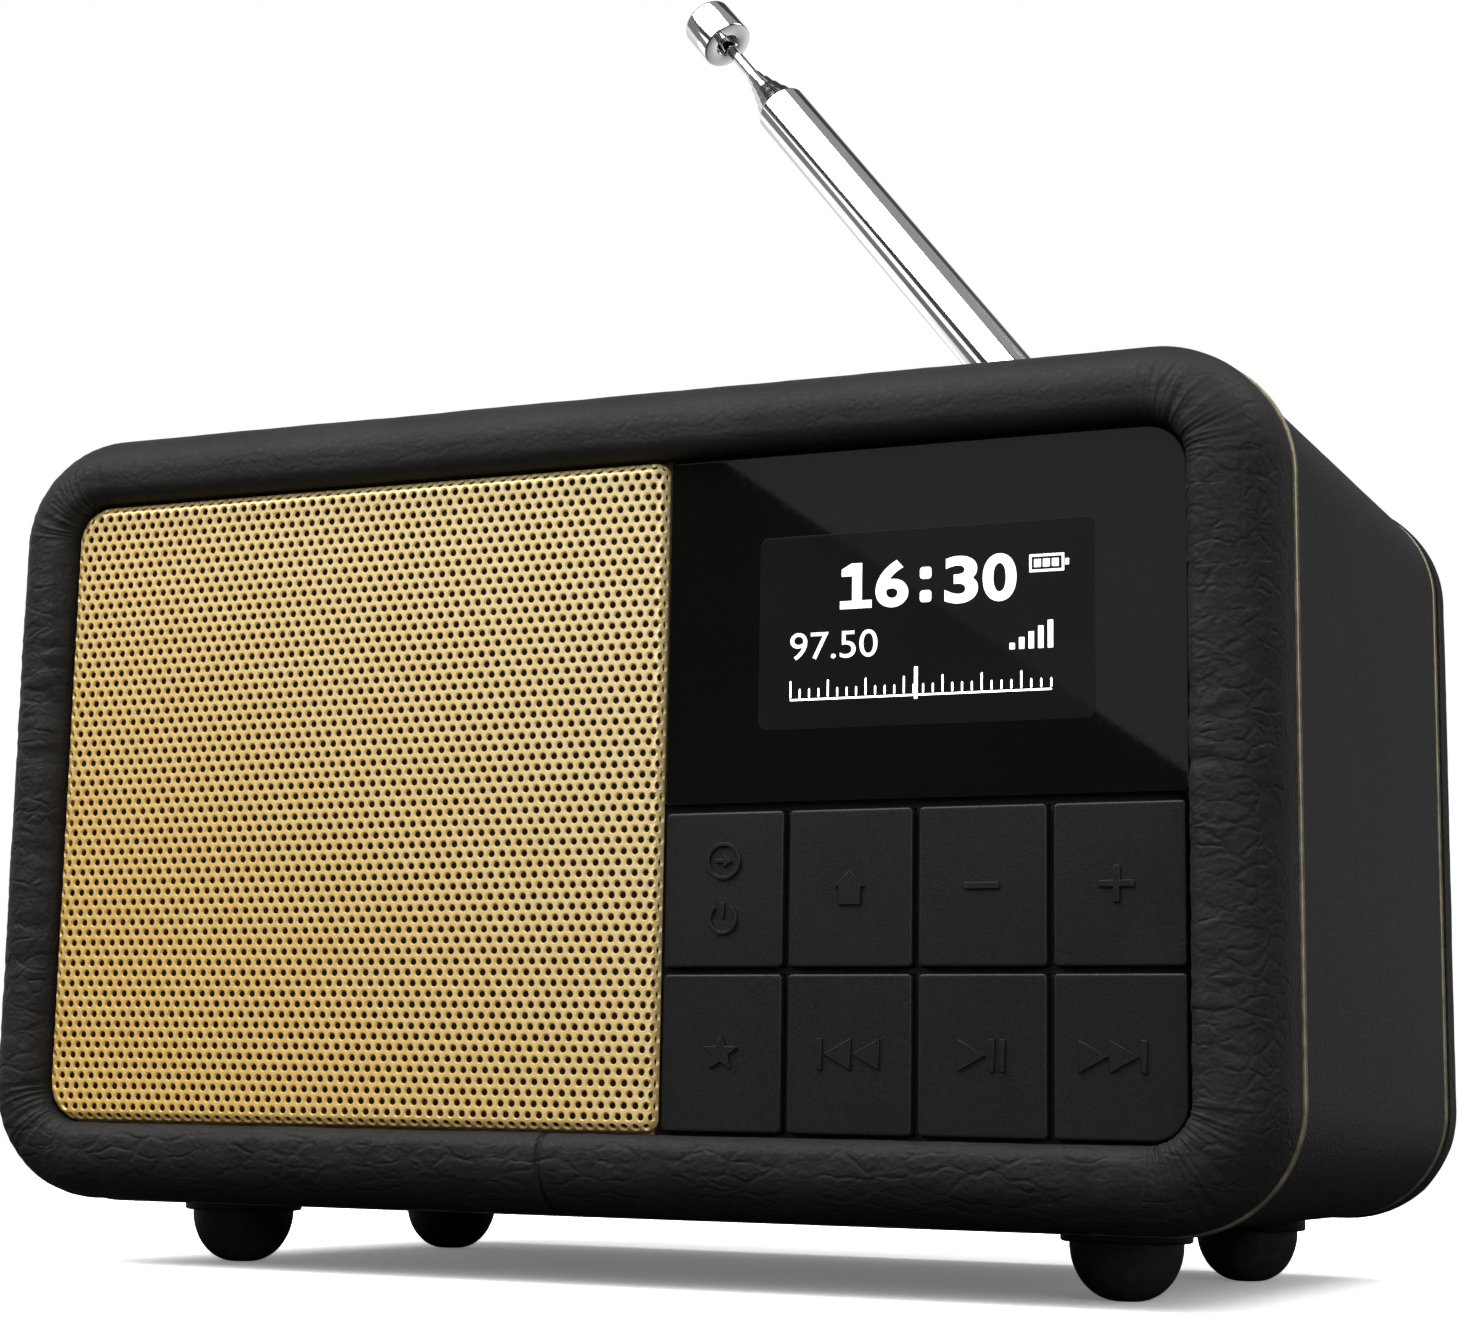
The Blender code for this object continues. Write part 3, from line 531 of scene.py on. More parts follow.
def leather_height(x, z, depth, normal, place_round, across, corner, side):
    """How far the leather stands out, in metres: it is uneven, folded along its sides, gathered at its
    corners and creased. The noise scales are in waves per metre."""
    uneven = 0.00008 * value(x, depth, z, 70) + 0.00004 * value(x, depth, z, 190)
    seed = 5.0 * side
    wander = 0.8 * value(x, depth + seed, z, 140)
    upright = abs(normal[0])  # 1 on the left and right sides, 0 at the top and bottom
    low_side = max(0.0, -normal[1])
    inner_part = min(1.0, across / 0.10) * max(0.0, 1 - across / 0.80)
    strength = 0.35 + 0.65 * (0.5 + value(x, depth - seed, z, 60))
    folds = ridges(place_round * 430 + wander, across * 2.2, seed)
    fine_folds = ridges(place_round * 900 + 1.5 * wander, across * 3.5, seed + 9)
    angle = atan2(normal[1], normal[0])
    gathers = ridges(angle * 7.5 + 0.7 * wander, across * 1.8, seed + 4)
    fine_gathers = ridges(angle * 15.0 + 1.3 * wander, across * 3.0, seed + 7)
    creases = ridges(x * 150 + wander, depth * 330, z * 150 + seed)
    fold_height = 0.00008 + 0.00016 * upright
    height = uneven
    height += (1 - corner) * inner_part * strength * fold_height * (folds + 0.45 * fine_folds)
    height += corner * inner_part * (0.00014 * gathers + 0.00009 * fine_gathers)
    height += (0.00002 + 0.00006 * low_side) * creases
    return height


SEAM_X = -0.0029  # from the cabinet's middle
SEAM_HALF = 0.0005
SEAM_DEEP = 0.0005
SEAM_REACH = 0.0035  # samples are closer together this near the seam
SEAM_SAMPLES = 6


def seam_depth(x, z, across):
    """The butt seam where the leather's two ends meet: near the bottom edge's middle, bent at its top."""
    if z > 0:
        return 0.0
    bend = 0.0012 * max(0.0, 1 - across / 0.12) ** 2
    distance = abs(x - SEAM_X - bend)
    return SEAM_DEEP * max(0.0, 1 - distance / SEAM_HALF) ** 0.7


def finer_at_seam(base, normal, place_round, corner):
    """The same samples with extra ones near the seam, so that it stays a thin line."""
    near = (np.abs(base[:, 0] - SEAM_X) < SEAM_REACH) & (base[:, 1] < 0)
    samples = []
    for i in range(len(base)):
        following = (i + 1) % len(base)
        step_round = (place_round[following] - place_round[i]) * (following > 0)
        parts = SEAM_SAMPLES if near[i] and near[following] else 1
        for k in range(parts):
            t = k / parts
            point = base[i] * (1 - t) + base[following] * t
            samples.append((point, normal[i], place_round[i] + t * step_round, corner[i]))
    return [np.array(column) for column in zip(*samples)]


def round_cabinet(name, profile, base, normal, moved, angle):
    """A ring round the cabinet. moved gives profile point i's outward distance and depth at sample j."""
    grid = np.zeros((len(profile), len(base), 3))
    for i in range(len(profile)):
        for j in range(len(base)):
            outward, depth = moved(i, j)
            x, z = base[j] + normal[j] * outward
            grid[i, j] = (MIDDLE_X + x, MIDDLE_Y + depth, MIDDLE_Z + z)
    return lattice(name, grid, angle=angle)


def frame_leather(name, side):
    """The leather wrapped over one padded frame: side is -1 at the front and 1 at the rear."""
    base, normal, place_round, corner = finer_at_seam(*path_samples(0.0006, 96))
    outer = frame_profile(0, 1)
    profile = np.concatenate([outer, frame_profile(LEATHER, 0)[::-1]])
    tangent = np.gradient(outer, axis=0)
    lift = np.stack([-tangent[:, 1], tangent[:, 0]], -1)
    lift /= np.linalg.norm(lift, axis=1)[:, None]
    along = np.concatenate([[0], np.cumsum(np.linalg.norm(np.diff(outer, axis=0), axis=1))])
    along /= along[-1]
    fade = np.clip(np.minimum((along - 0.05) / 0.12, (1 - along) / 0.06), 0, 1)  # flat near both edges

    def wrinkled(i, j):
        outward, depth = profile[i]
        if i >= len(outer):
            return outward, side * depth
        x, z = base[j] + normal[j] * outward
        height = leather_height(x, z, depth, normal[j], place_round[j], along[i], corner[j], side)
        height = height * fade[i] - seam_depth(x, z, along[i])
        return outward + lift[i][0] * height, side * (depth + lift[i][1] * height)

    return round_cabinet(name, profile, base, normal, wrinkled, 70)


def cabinet_skin():
    """The smooth leather round the middle, slightly turned down at the pipings."""
    low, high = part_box("cabinet_leather")
    outer = high.x - MIDDLE_X - OPENING_X
    end = (high.y - low.y) / 2
    turned_down, turned_width = 0.00035, 0.0012
    profile = []
    for depth in np.linspace(-end, end, 121):
        turn = max(0.0, 1 - (end - abs(depth)) / turned_width)
        profile.append((outer - turned_down * turn**2, depth))
    profile += [(outer - LEATHER, end), (outer - LEATHER, -end)]
    base, normal, _, _ = path_samples(0.0016, 24)

    def uneven(i, j):
        outward, depth = profile[i]
        if i >= len(profile) - 2:
            return outward, depth
        x, z = base[j] + normal[j] * outward
        wave = 0.00005 * value(x, depth, z, 60) + 0.00002 * value(x, depth, z, 240)
        return outward + wave, depth

    return round_cabinet("cabinet_skin", profile, base, normal, uneven, 40)


def piping(name, node, raised):
    """A half-round gold strip that stands out between the leathers, raised or sunk from the CAD's height."""
    low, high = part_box(node)
    outer = high.x - MIDDLE_X - OPENING_X + raised
    middle = (low.y + high.y) / 2 - MIDDLE_Y
    half = (high.y - low.y) / 2 - 0.0002
    crown = half * 0.8
    root = outer - 0.0011
    profile = arc((outer - crown, middle), (crown, half), 90, -90, 10)
    profile += [(root, middle - half), (root, middle + half)]
    base, normal, _, _ = path_samples(0.004, 32)
    return round_cabinet(name, profile, base, normal, lambda i, j: profile[i], 50)


# ---------------------------------------------------------------- grille

METAL = 0.00030
BEND = 0.0015  # outer radius of the sheet's folded edges
FOLD = 0.0031  # how much of the flat sheet is past the start of its folds
COLUMNS = 56  # holes across and down the flat part of the sheet
ROWS = 59.5
HOLE_FRONT = 0.00062  # each hole is a cone, wider at the front
HOLE_BACK = 0.00044
HOLE_SIDES = 8


class FoldedSheet:
    """Takes a place on the flat sheet to its place once the edges are folded back."""

    def __init__(self):
        self.low = np.array((GRILLE_LOW.x + BEND, GRILLE_LOW.z + BEND))
        self.high = np.array((GRILLE_HIGH.x - BEND, GRILLE_HIGH.z - BEND))
        self.left_corner = OPENING_RADIUS - GAP - BEND
        self.right_corner = 0.0001
        self.pitch_x = (self.high[0] - self.low[0]) / COLUMNS
        self.pitch_z = (self.high[1] - self.low[1]) / ROWS

    def past(self, x, z):
        """How far a place is past the start of the fold, and the fold's outward direction there."""
        middle_x = (self.low[0] + self.high[0]) / 2
        radius = self.left_corner if x < middle_x else self.right_corner
        nearest_x = min(max(x, self.low[0] + radius), self.high[0] - radius)
        nearest_z = min(max(z, self.low[1] + radius), self.high[1] - radius)
        away_x, away_z = x - nearest_x, z - nearest_z
        length = hypot(away_x, away_z)
        if length < 1e-9:
            return -1.0, (0.0, 0.0)
        return length - radius, (away_x / length, away_z / length)

    def fold(self, x, z, back):
        """The folded place of a point on the sheet's front or back surface."""
        distance, (out_x, out_z) = self.past(x, z)
        depth = METAL if back else 0.0
        if distance > 0:
            kept = min(distance, FOLD)
            turn = min(kept / BEND, pi / 2)
            radius = BEND - depth
            outward = radius * sin(turn)
            x += out_x * (outward - distance)
            z += out_z * (outward - distance)
            depth += radius * (1 - cos(turn)) + max(0.0, kept - BEND * pi / 2)
        return x, GRILLE_LOW.y + depth, z


def perforated_grille():
    """Gold sheet with a staggered pattern of open holes and four folded edges, as one closed body."""
    sheet = FoldedSheet()
    points, faces, found, edge_use = [], [], {}, {}

    def shared(x, z, back):
        key = (round(x * 1e6), round(z * 1e6), back)
        if key not in found:
            found[key] = len(points)
            points.append(sheet.fold(x, z, back))
        return found[key]

    def cell(x0, x1, z0, z1):
        mid_x, mid_z = (x0 + x1) / 2, (z0 + z1) / 2
        rim = [(x1, mid_z), (x1, z1), (mid_x, z1), (x0, z1)]
        rim += [(x0, mid_z), (x0, z0), (mid_x, z0), (x1, z0)]
        if all(sheet.past(x, z)[0] >= FOLD - 1e-6 for x, z in rim):
            return
        front = [shared(x, z, False) for x, z in rim]
        back = [shared(x, z, True) for x, z in rim]
        for i in range(HOLE_SIDES):
            j = (i + 1) % HOLE_SIDES
            for start, end in ((i, j), (j, i)):
                uses = edge_use.setdefault((front[start], front[end]), [])
                uses.append((back[start], back[end], start == i))
        whole = x1 - x0 > 0.9 * sheet.pitch_x
        if not whole or sheet.past(mid_x, mid_z)[0] + HOLE_FRONT > FOLD:
            faces.append(front)
            faces.append(back[::-1])
            return
        angles = [2 * pi * i / HOLE_SIDES for i in range(HOLE_SIDES)]
        start = len(points)
        for radius, is_back in ((HOLE_FRONT, False), (HOLE_BACK, True)):
            for a in angles:
                points.append(sheet.fold(mid_x + radius * cos(a), mid_z + radius * sin(a), is_back))
        for i in range(HOLE_SIDES):
            j = (i + 1) % HOLE_SIDES
            faces.append((front[i], front[j], start + j, start + i))
            faces.append((start + i, start + j, start + HOLE_SIDES + j, start + HOLE_SIDES + i))
            faces.append((back[j], back[i], start + HOLE_SIDES + i, start + HOLE_SIDES + j))

    # the pattern runs past the flat part of the sheet, over its folds
    columns = COLUMNS + 5
    rows = int(ROWS) + 6
    last_x = sheet.high[0] + 2.5 * sheet.pitch_x
    first_z = sheet.low[1] - 2.25 * sheet.pitch_z
    for row in range(rows):
        z0 = first_z + row * sheet.pitch_z
        shift = 0.5 * (row % 2)
        for column in range(columns):
            x1 = last_x - (column + shift) * sheet.pitch_x
            cell(x1 - sheet.pitch_x, x1, z0, z0 + sheet.pitch_z)
        if shift:
            cell(last_x - shift * sheet.pitch_x, last_x, z0, z0 + sheet.pitch_z)
    for (start, end), uses in edge_use.items():
        reverse = edge_use.get((end, start), [])
        if len(uses) == 1 and uses[0][2] and len(reverse) == 1:
            back_start, back_end, _ = uses[0]
            faces.append((start, back_start, back_end, end))
    mesh = bpy.data.meshes.new("perforated_grille")
    mesh.from_pydata(points, [], faces)
    mesh.update()
    smooth(mesh, 35)
    return link("perforated_grille", mesh)


# ---------------------------------------------------------------- window, display and keys

WINDOW_FRONT = WINDOW_LOW.y
SCREEN_FRONT = WINDOW_FRONT - 0.00005
MARK_HEIGHT = 0.00002  # how far the lit marks stand proud of the screen
MARK_FRONT = SCREEN_FRONT - MARK_HEIGHT
MARK_BACK = SCREEN_FRONT + 0.00001
KEY_CORNER = 0.0042  # the corner of the last key follows the leather's
SMALL_RADIUS = 0.0006  # of the other corners of the window and the keys
KEY_FLANGE = 0.00025


def glossy_window():
    low, high = (WINDOW_LOW.x, WINDOW_LOW.z), (WINDOW_HIGH.x, WINDOW_HIGH.z)
    radii = (OPENING_RADIUS - GAP, SMALL_RADIUS, SMALL_RADIUS, SMALL_RADIUS)
    return slab("glossy_window", low, high, radii, WINDOW_FRONT, WINDOW_HIGH.y, 0.0002, 16)


def from_middle(x, z):
    """A place on the front, given in millimetres from the cabinet's middle."""
    return MIDDLE_X + x / 1000, MIDDLE_Z + z / 1000


def lit_screen():
    low, high = from_middle(24.6, 7.2), from_middle(68.1, 31.6)
    return slab("lit_screen", low, high, [0.0012] * 4, SCREEN_FRONT, SCREEN_FRONT + 0.0002, 0.00003)


def figures(text, left, base, height, width, bold):
    """Figures as a thin solid with the given left edge, foot, height and overall width in millimetres."""
    curve = bpy.data.curves.new("figures", "FONT")
    curve.body = text
    curve.size = 1.0
    curve.offset = bold
    curve.extrude = 0.002
    holder = link("figures", curve)
    mesh = evaluated_mesh(holder)
    bpy.data.objects.remove(holder, do_unlink=True)
    corners = np.array([v.co[:] for v in mesh.vertices])
    low, high = corners.min(0), corners.max(0)
    x, z = from_middle(left, base)
    for vertex in mesh.vertices:
        across, up, level = vertex.co - Vector(low.tolist())
        across *= width / 1000 / (high[0] - low[0])
        up *= height / 1000 / (high[1] - low[1])
        vertex.co = (x + across, MARK_FRONT + MARK_HEIGHT - level * 0.005, z + up)
    return link("figures", mesh)


def sheet_piece(*corners):
    """A thin lit shape with the given corners, in millimetres from the cabinet's middle."""

    def to_point(x, z, level):
        across, up = from_middle(x, z)
        return across, level, up

    return extruded("shape", corners, MARK_FRONT, MARK_BACK, to_point)


def mark(left, right, base, top, radius=0.08):
    """A small lit rectangle, in millimetres from the cabinet's middle."""
    low, high = from_middle(left, base), from_middle(right, top)
    return slab("mark", low, high, [radius / 1000] * 4, MARK_FRONT, MARK_BACK, 0.00001, 3, 1)


def clock():
    """The time, in bold figures of equal width."""
    foot, top = 22.0, 27.7
    stem = (37.0, 38.3)
    parts = [sheet_piece(*rectangle(35.4, 39.6, foot, foot + 1.0))]
    parts.append(mark(*stem, foot + 0.9, top, 0.02))
    parts.append(sheet_piece((35.6, 26.1), (37.1, 26.1), (37.1, top), (36.9, top), (35.6, 27.0)))
    for text, left in (("6", 40.1), ("3", 49.1), ("0", 54.0)):
        parts.append(figures(text, left, foot - 0.1, top - foot + 0.2, 4.3, 0.03))
    for base in (22.3, 25.2):
        parts.append(mark(45.9, 47.4, base, base + 1.5, 0.4))
    return parts


def battery():
    """A full battery: an outline with its contact, and three bars."""
    left, right, foot, top, line = 59.9, 64.3, 25.2, 27.4, 0.32
    parts = [mark(left, right, foot, foot + line), mark(left, right, top - line, top)]
    parts.append(mark(left, left + line, foot + line, top - line))
    parts.append(mark(right - line, right, foot + line, top - line))
    parts.append(mark(right + 0.1, right + 0.6, foot + 0.7, top - 0.7))
    for number in range(3):
        start = left + 0.6 + 1.12 * number
        parts.append(mark(start, start + 0.88, foot + 0.6, top - 0.6))
    return parts


def display_marks():
    """The time, a battery sign, the tuned frequency with signal bars, and a tuning scale."""
    parts = clock() + battery()
    parts.append(figures("97.50", 28.8, 15.9, 3.4, 11.6, 0.0))
    for number in range(5):
        left = 57.4 + 1.2 * number
        parts.append(mark(left, left + 0.7, 15.9, 16.7 + 0.65 * number))
    for number in range(28):
        left = 28.8 + 1.25 * number
        height = 2.2 if number % 4 == 0 else 1.2
        parts.append(mark(left, left + 0.2, 11.1, 11.1 + height))
    parts.append(mark(28.8, 62.75, 10.8, 11.0))
    parts.append(mark(45.2, 45.7, 10.4, 14.4))
    return gather("display_marks", parts)


def key_face(row, column):
    """The low and high corners of a key's visible face, and its depth."""
    low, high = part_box(f"button_{row}_{column}")
    face_low = (low.x + KEY_FLANGE, low.z + KEY_FLANGE)
    face_high = (high.x - KEY_FLANGE, high.z - KEY_FLANGE)
    return face_low, face_high, low.y, high.y


def key(row, column):
    low, high, front, back = key_face(row, column)
    last = KEY_CORNER if (row, column) == (2, 4) else SMALL_RADIUS
    radii = (SMALL_RADIUS, SMALL_RADIUS, SMALL_RADIUS, last)
    return slab(f"key_{row}_{column}", low, high, radii, front, back, 0.0003, 12, 5)


class Icon:
    """Builds a raised sign from strokes and filled shapes, in millimetres from its key's middle."""

    RAISED = 0.0003
    SUNK = 0.0001
    HALF = 1.9  # half the height of bars and arrows

    def __init__(self, row, column, shift=0.0):
        low, high, front, _ = key_face(row, column)
        self.name = f"key_sign_{row}_{column}"
        self.x = (low[0] + high[0]) / 2 + shift / 1000
        self.z = (low[1] + high[1]) / 2
        self.front = front
        self.parts = []

    def point(self, x, z, level):
        y = self.front - self.RAISED if level else self.front + self.SUNK
        return self.x + x / 1000, y, self.z + z / 1000

    def filled(self, *corners):
        self.parts.append(extruded("shape", corners, 0, 1, self.point))
        return self

    def bar(self, left, right):
        return self.filled(*rectangle(left, right, -self.HALF, self.HALF))

    def arrow(self, tip_x, flat):
        """A triangle from its flat side to its tip, on either side of it."""
        tip_point, foot, top = (tip_x, 0), (flat, -self.HALF), (flat, self.HALF)
        return self.filled(tip_point, foot, top) if tip_x < flat else self.filled(foot, tip_point, top)

    def stroke(self, path, width, closed=False):
        path = np.array(path, float)
        if closed:
            direction = np.roll(path, -1, 0) - np.roll(path, 1, 0)
        else:
            direction = np.gradient(path, axis=0)
        direction /= np.linalg.norm(direction, axis=1)[:, None]
        side = np.stack([-direction[:, 1], direction[:, 0]], -1) * width / 2
        rows = []
        for here, off in zip(path, side):
            levels = ((here + off, 0), (here + off, 1), (here - off, 1), (here - off, 0))
            rows.append([self.point(*place, level) for place, level in levels])
        self.parts.append(lattice("stroke", np.array(rows), wrap_rows=closed))
        return self

    def ring(self, x, z, radius, width=0.45, start=0, end=360):
        closed = end - start == 360
        path = arc((x, z), (radius, radius), start, end, 40)
        return self.stroke(path[:-1] if closed else path, width, closed)

    def made(self):
        sign = gather(self.name, self.parts)
        soften(sign, 0.00006)
        return sign


def key_signs():
    """One raised sign for each key, by row and column."""
    power = Icon(1, 1)
    power.ring(0, 3.5, 2.1)
    power.stroke([(-1.1, 3.5), (0.2, 3.5)], 0.45)
    power.filled((0.0, 2.7), (1.2, 3.5), (0.0, 4.3))
    power.ring(0, -3.65, 1.75, 0.42, 125, 415)
    power.stroke([(0, -3.5), (0, -1.6)], 0.42)
    house = Icon(1, 2)
    house.filled((-1.45, -2.1), (1.45, -2.1), (1.45, 0.1), (2.0, 0.1), (0, 2.1), (-2.0, 0.1), (-1.45, 0.1))
    minus = Icon(1, 3).stroke([(-2.2, 0), (2.2, 0)], 0.8)
    plus = Icon(1, 4, -0.3)
    arm, half = 2.15, 0.4
    cross = [(half, arm), (half, half), (arm, half), (arm, -half), (half, -half), (half, -arm)]
    plus.filled(*cross, *[(-x, -z) for x, z in cross])
    star = Icon(2, 1)
    reaches = (2.4, 1.05) * 5
    tips = [(reach * sin(pi * i / 5), reach * cos(pi * i / 5)) for i, reach in enumerate(reaches)]
    star.filled(*tips[::-1])
    back = Icon(2, 2).bar(-4.0, -3.4).arrow(-3.2, 0.3).arrow(0.5, 4.0)
    play = Icon(2, 3).arrow(0.5, -2.9).bar(1.0, 1.6).bar(2.3, 2.9)
    ahead = Icon(2, 4, -0.8).arrow(-0.6, -4.1).arrow(3.1, -0.4).bar(3.4, 4.0)
    signs = ((power, house, minus, plus), (star, back, play, ahead))
    return {(i + 1, j + 1): sign.made() for i, line in enumerate(signs) for j, sign in enumerate(line)}


# ---------------------------------------------------------------- feet


def foot_pieces(place_name):
    """A domed rubber foot and the round plate above it."""
    low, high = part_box(f"foot_{place_name}")
    plate_low, plate_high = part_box(f"foot_plate_{place_name}")
    middle = Matrix.Translation(((low.x + high.x) / 2, (low.y + high.y) / 2, 0))
    radius = (high.x - low.x) / 2
    dome_top = plate_low.z - 0.00003
    flat = 0.0012
    stem = 0.0033
    profile = [(0, low.z), (flat * 0.6, low.z)]
    profile += arc((flat, dome_top), (radius - flat, dome_top - low.z), -90, 0, 26)
    profile += [(stem, dome_top), (stem, high.z), (0, high.z)]
    dome = turned(f"rubber_foot_{place_name}", profile, 72, middle)
    plate_radius = (plate_high.x - plate_low.x) / 2
    edge = 0.0004
    ring = [(stem + GAP, plate_low.z)]
    ring += arc((plate_radius - edge, plate_low.z + edge), (edge, edge), -90, 0, 5)
    ring += [(plate_radius, plate_high.z), (stem + GAP, plate_high.z)]
    plate = turned(f"round_plate_{place_name}", ring, 72, middle)
    return dome, plate


# ---------------------------------------------------------------- rear: screws and sockets


def facing_rear_at(x, z):
    return Matrix.Translation((x, 0, z)) @ FACING_REAR


def middle_of(node):
    """Where a node's middle is, across and up."""
    low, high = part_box(node)
    return (low.x + high.x) / 2, (low.z + high.z) / 2


def block(name, x, z, half_width, half_height, start, end):
    """A straight block between two depths."""
    corners = rectangle(-half_width, half_width, -half_height, half_height)
    return extruded(name, corners, start, end, lambda u, v, level: (x + u, level, z + v))


def rear_screw(number):
    """A domed screw head with a cross recess, and its shank."""
    low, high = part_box(f"rear_screw_{number}")
    x, z = middle_of(f"rear_screw_{number}")
    radius = (high.x - low.x) / 2
    head = high.y - 0.0016
    shank, dome = 0.0012, 0.0012
    profile = [(0, low.y), (shank, low.y), (shank, head), (radius, head)]
    profile += arc((radius - dome, head + 0.0004), (dome, dome), 0, 70, 8)
    profile += [(0, high.y)]
    screw = turned(f"domed_screw_{number}", eased(profile, 0.0001, 2), 48, facing_rear_at(x, z))
    long, thin = 0.0014, 0.00033
    for width, height in ((long, thin), (thin, long)):
        recess = block("recess", x, z, width, height, high.y - 0.0009, high.y + 0.0005)
        combine(screw, recess, "DIFFERENCE")
    return screw


def charging_socket():
    """A rounded metal shell round a contact tongue."""
    low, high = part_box("charging_socket")
    wall, radius, edge = 0.0005, 0.00165, 0.0002
    rings = [(wall, low.y + 0.0013), (wall, high.y - edge), (wall * 0.6, high.y), (wall * 0.3, high.y)]
    rings += [(0, high.y - edge), (0, low.y)]
    return stacked("socket_shell", (low.x, low.z), (high.x, high.z), [radius] * 4, rings, 8, 35)


def charging_tongue():
    low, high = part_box("charging_socket")
    x, z = middle_of("charging_socket")
    tongue = block("socket_tongue", x, z, 0.0032, 0.00035, low.y + 0.0012, high.y - 0.0012)
    soften(tongue, 0.0001)
    return tongue


def headphone_ring():
    low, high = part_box("headphone_socket")
    inner, shaft, rim_radius = 0.0018, 0.0030, (high.x - low.x) / 2
    collar, floor_level = high.y - 0.0010 + GAP, low.y + 0.0015
    profile = [(0, low.y), (shaft, low.y), (shaft, collar), (rim_radius, collar)]
    profile += [(rim_radius - 0.0002, high.y), (inner, high.y), (inner, floor_level), (0, floor_level)]
    place = facing_rear_at(*middle_of("headphone_socket"))
    return turned("headphone_ring", eased(profile, 0.0002, 3), 64, place)


# ---------------------------------------------------------------- antenna

JOINTS = {joint["name"]: joint for joint in frame["joints"]}
HINGE = Vector(JOINTS["antenna_tilt"]["pos_m"])
ACROSS = -Vector(JOINTS["antenna_tilt"]["axis"]).normalized()
ALONG = Vector(JOINTS["antenna_slide_2"]["axis"]).normalized()


def axes(x_axis, y_axis, z_axis):
    made = Matrix((x_axis, y_axis, z_axis)).transposed().to_4x4()
    return Matrix.Translation(HINGE) @ made


ARM = axes(ACROSS, ALONG.cross(ACROSS), ALONG)  # Z runs up the tubes
SWIVEL = axes(ACROSS, Vector((0, 1, 0)), ACROSS.cross(Vector((0, 1, 0))))  # Y is the swivel's axis
ALONG_X = Matrix.Rotation(pi / 2, 4, "Y")

EAR_RADIUS = 0.0036
TANG_HALF = 0.0016
EAR_THICK = 0.0020
PIN_HOLE = 0.0015
PIN_HEAD = 0.0019
TAPER = 0.00255  # each inner tube shows this much, drawn in towards the next


def extent(node):
    """Where a node starts and ends along the arm, and its radius."""
    into = ARM.inverted()
    points = np.array([into @ v.co for v in frame["nodes"][node].data.vertices])
    return points[:, 2].min(), points[:, 2].max(), np.hypot(points[:, 0], points[:, 1]).max()


def rim(radius, top, edge, steps):
    """The rounded outer edge at the top of a turned profile."""
    return arc((radius - edge, top - edge), (edge, edge), 0, 90, steps)


def tube(number):
    """One tube of the antenna; the last millimetres of the inner ones are drawn in like a cone."""
    start, end, radius = extent(f"antenna_tube_{number}")
    following = "antenna_rod" if number == 5 else f"antenna_tube_{number + 1}"
    inner = extent(following)[2]
    bore = (radius + inner) / 2 + 0.00005
    mouth = inner + 0.00008
    edge = 0.0006
    outer_end = [(radius, end - edge)] + rim(radius, end, edge, 8)
    if number > 1:
        lip = 0.00012
        outer_end = [(radius, end - TAPER), (radius - 0.00003, end - TAPER + 0.0002)]
        outer_end += [(mouth + 2 * lip, end - lip)]
        outer_end += arc((mouth + lip, end - lip), (lip, lip), 0, 90, 4)
    profile = [(bore, start), (radius, start)] + outer_end
    profile += [(mouth, end), (mouth, end - 0.0001), (bore, end - TAPER), (bore, start + 0.001)]
    if number == 1:
        profile = [(0, start), (radius, start)] + outer_end
        profile += [(mouth, end), (mouth, end - 0.0008), (bore, end - 0.0012)]
        profile += [(bore, start + 0.0015), (0, start + 0.0015)]
    return turned(f"chrome_tube_{number}", profile, 72, ARM, 25)


def rod():
    start, end, radius = extent("antenna_rod")
    profile = [(0, start), (radius, start), (radius, end), (0, end)]
    return turned("chrome_rod", eased(profile, 0.0002), 32, ARM)


def tip():
    """The end cap: a drum with rounded rims and a recess round the rod."""
    start, end, radius = extent("antenna_tip")
    rod_end, rod_radius = extent("antenna_rod")[1:]
    recess, near_edge, far_edge = 0.0023, 0.0003, 0.0007
    hole = rod_radius + 0.0001
    floor_level, step = rod_end + 0.0001, start + 0.0022
    profile = [(0, floor_level), (hole, floor_level), (hole, step), (recess, step)]
    profile += arc((recess + 0.0002, start + 0.0002), (0.0002, 0.0002), 180, 270, 4)
    profile += arc((radius - near_edge, start + near_edge), (near_edge, near_edge), -90, 0, 5)
    profile += rim(radius, end, far_edge, 8)
    profile += [(radius - 0.0016, end), (0, end)]
    return turned("chrome_tip", profile, 72, ARM, 30)


def pin_hole_cutter(matrix):
    reach = 0.006
    profile = [(0, -reach), (PIN_HOLE, -reach), (PIN_HOLE, reach), (0, reach)]
    return turned("pin_hole", profile, 48, matrix @ ALONG_X)


def eye(name, near, far, foot_level, toward, matrix):
    """A plate with a round end about the pin; toward says where in the section its foot points."""
    outline = [toward(foot_level, -EAR_RADIUS)]
    outline += [toward(*p) for p in arc((0, 0), (EAR_RADIUS, EAR_RADIUS), -90, 90, 28)]
    outline.append(toward(foot_level, EAR_RADIUS))
    return extruded(name, outline, near, far, lambda u, v, level: matrix @ Vector((level, u, v)))


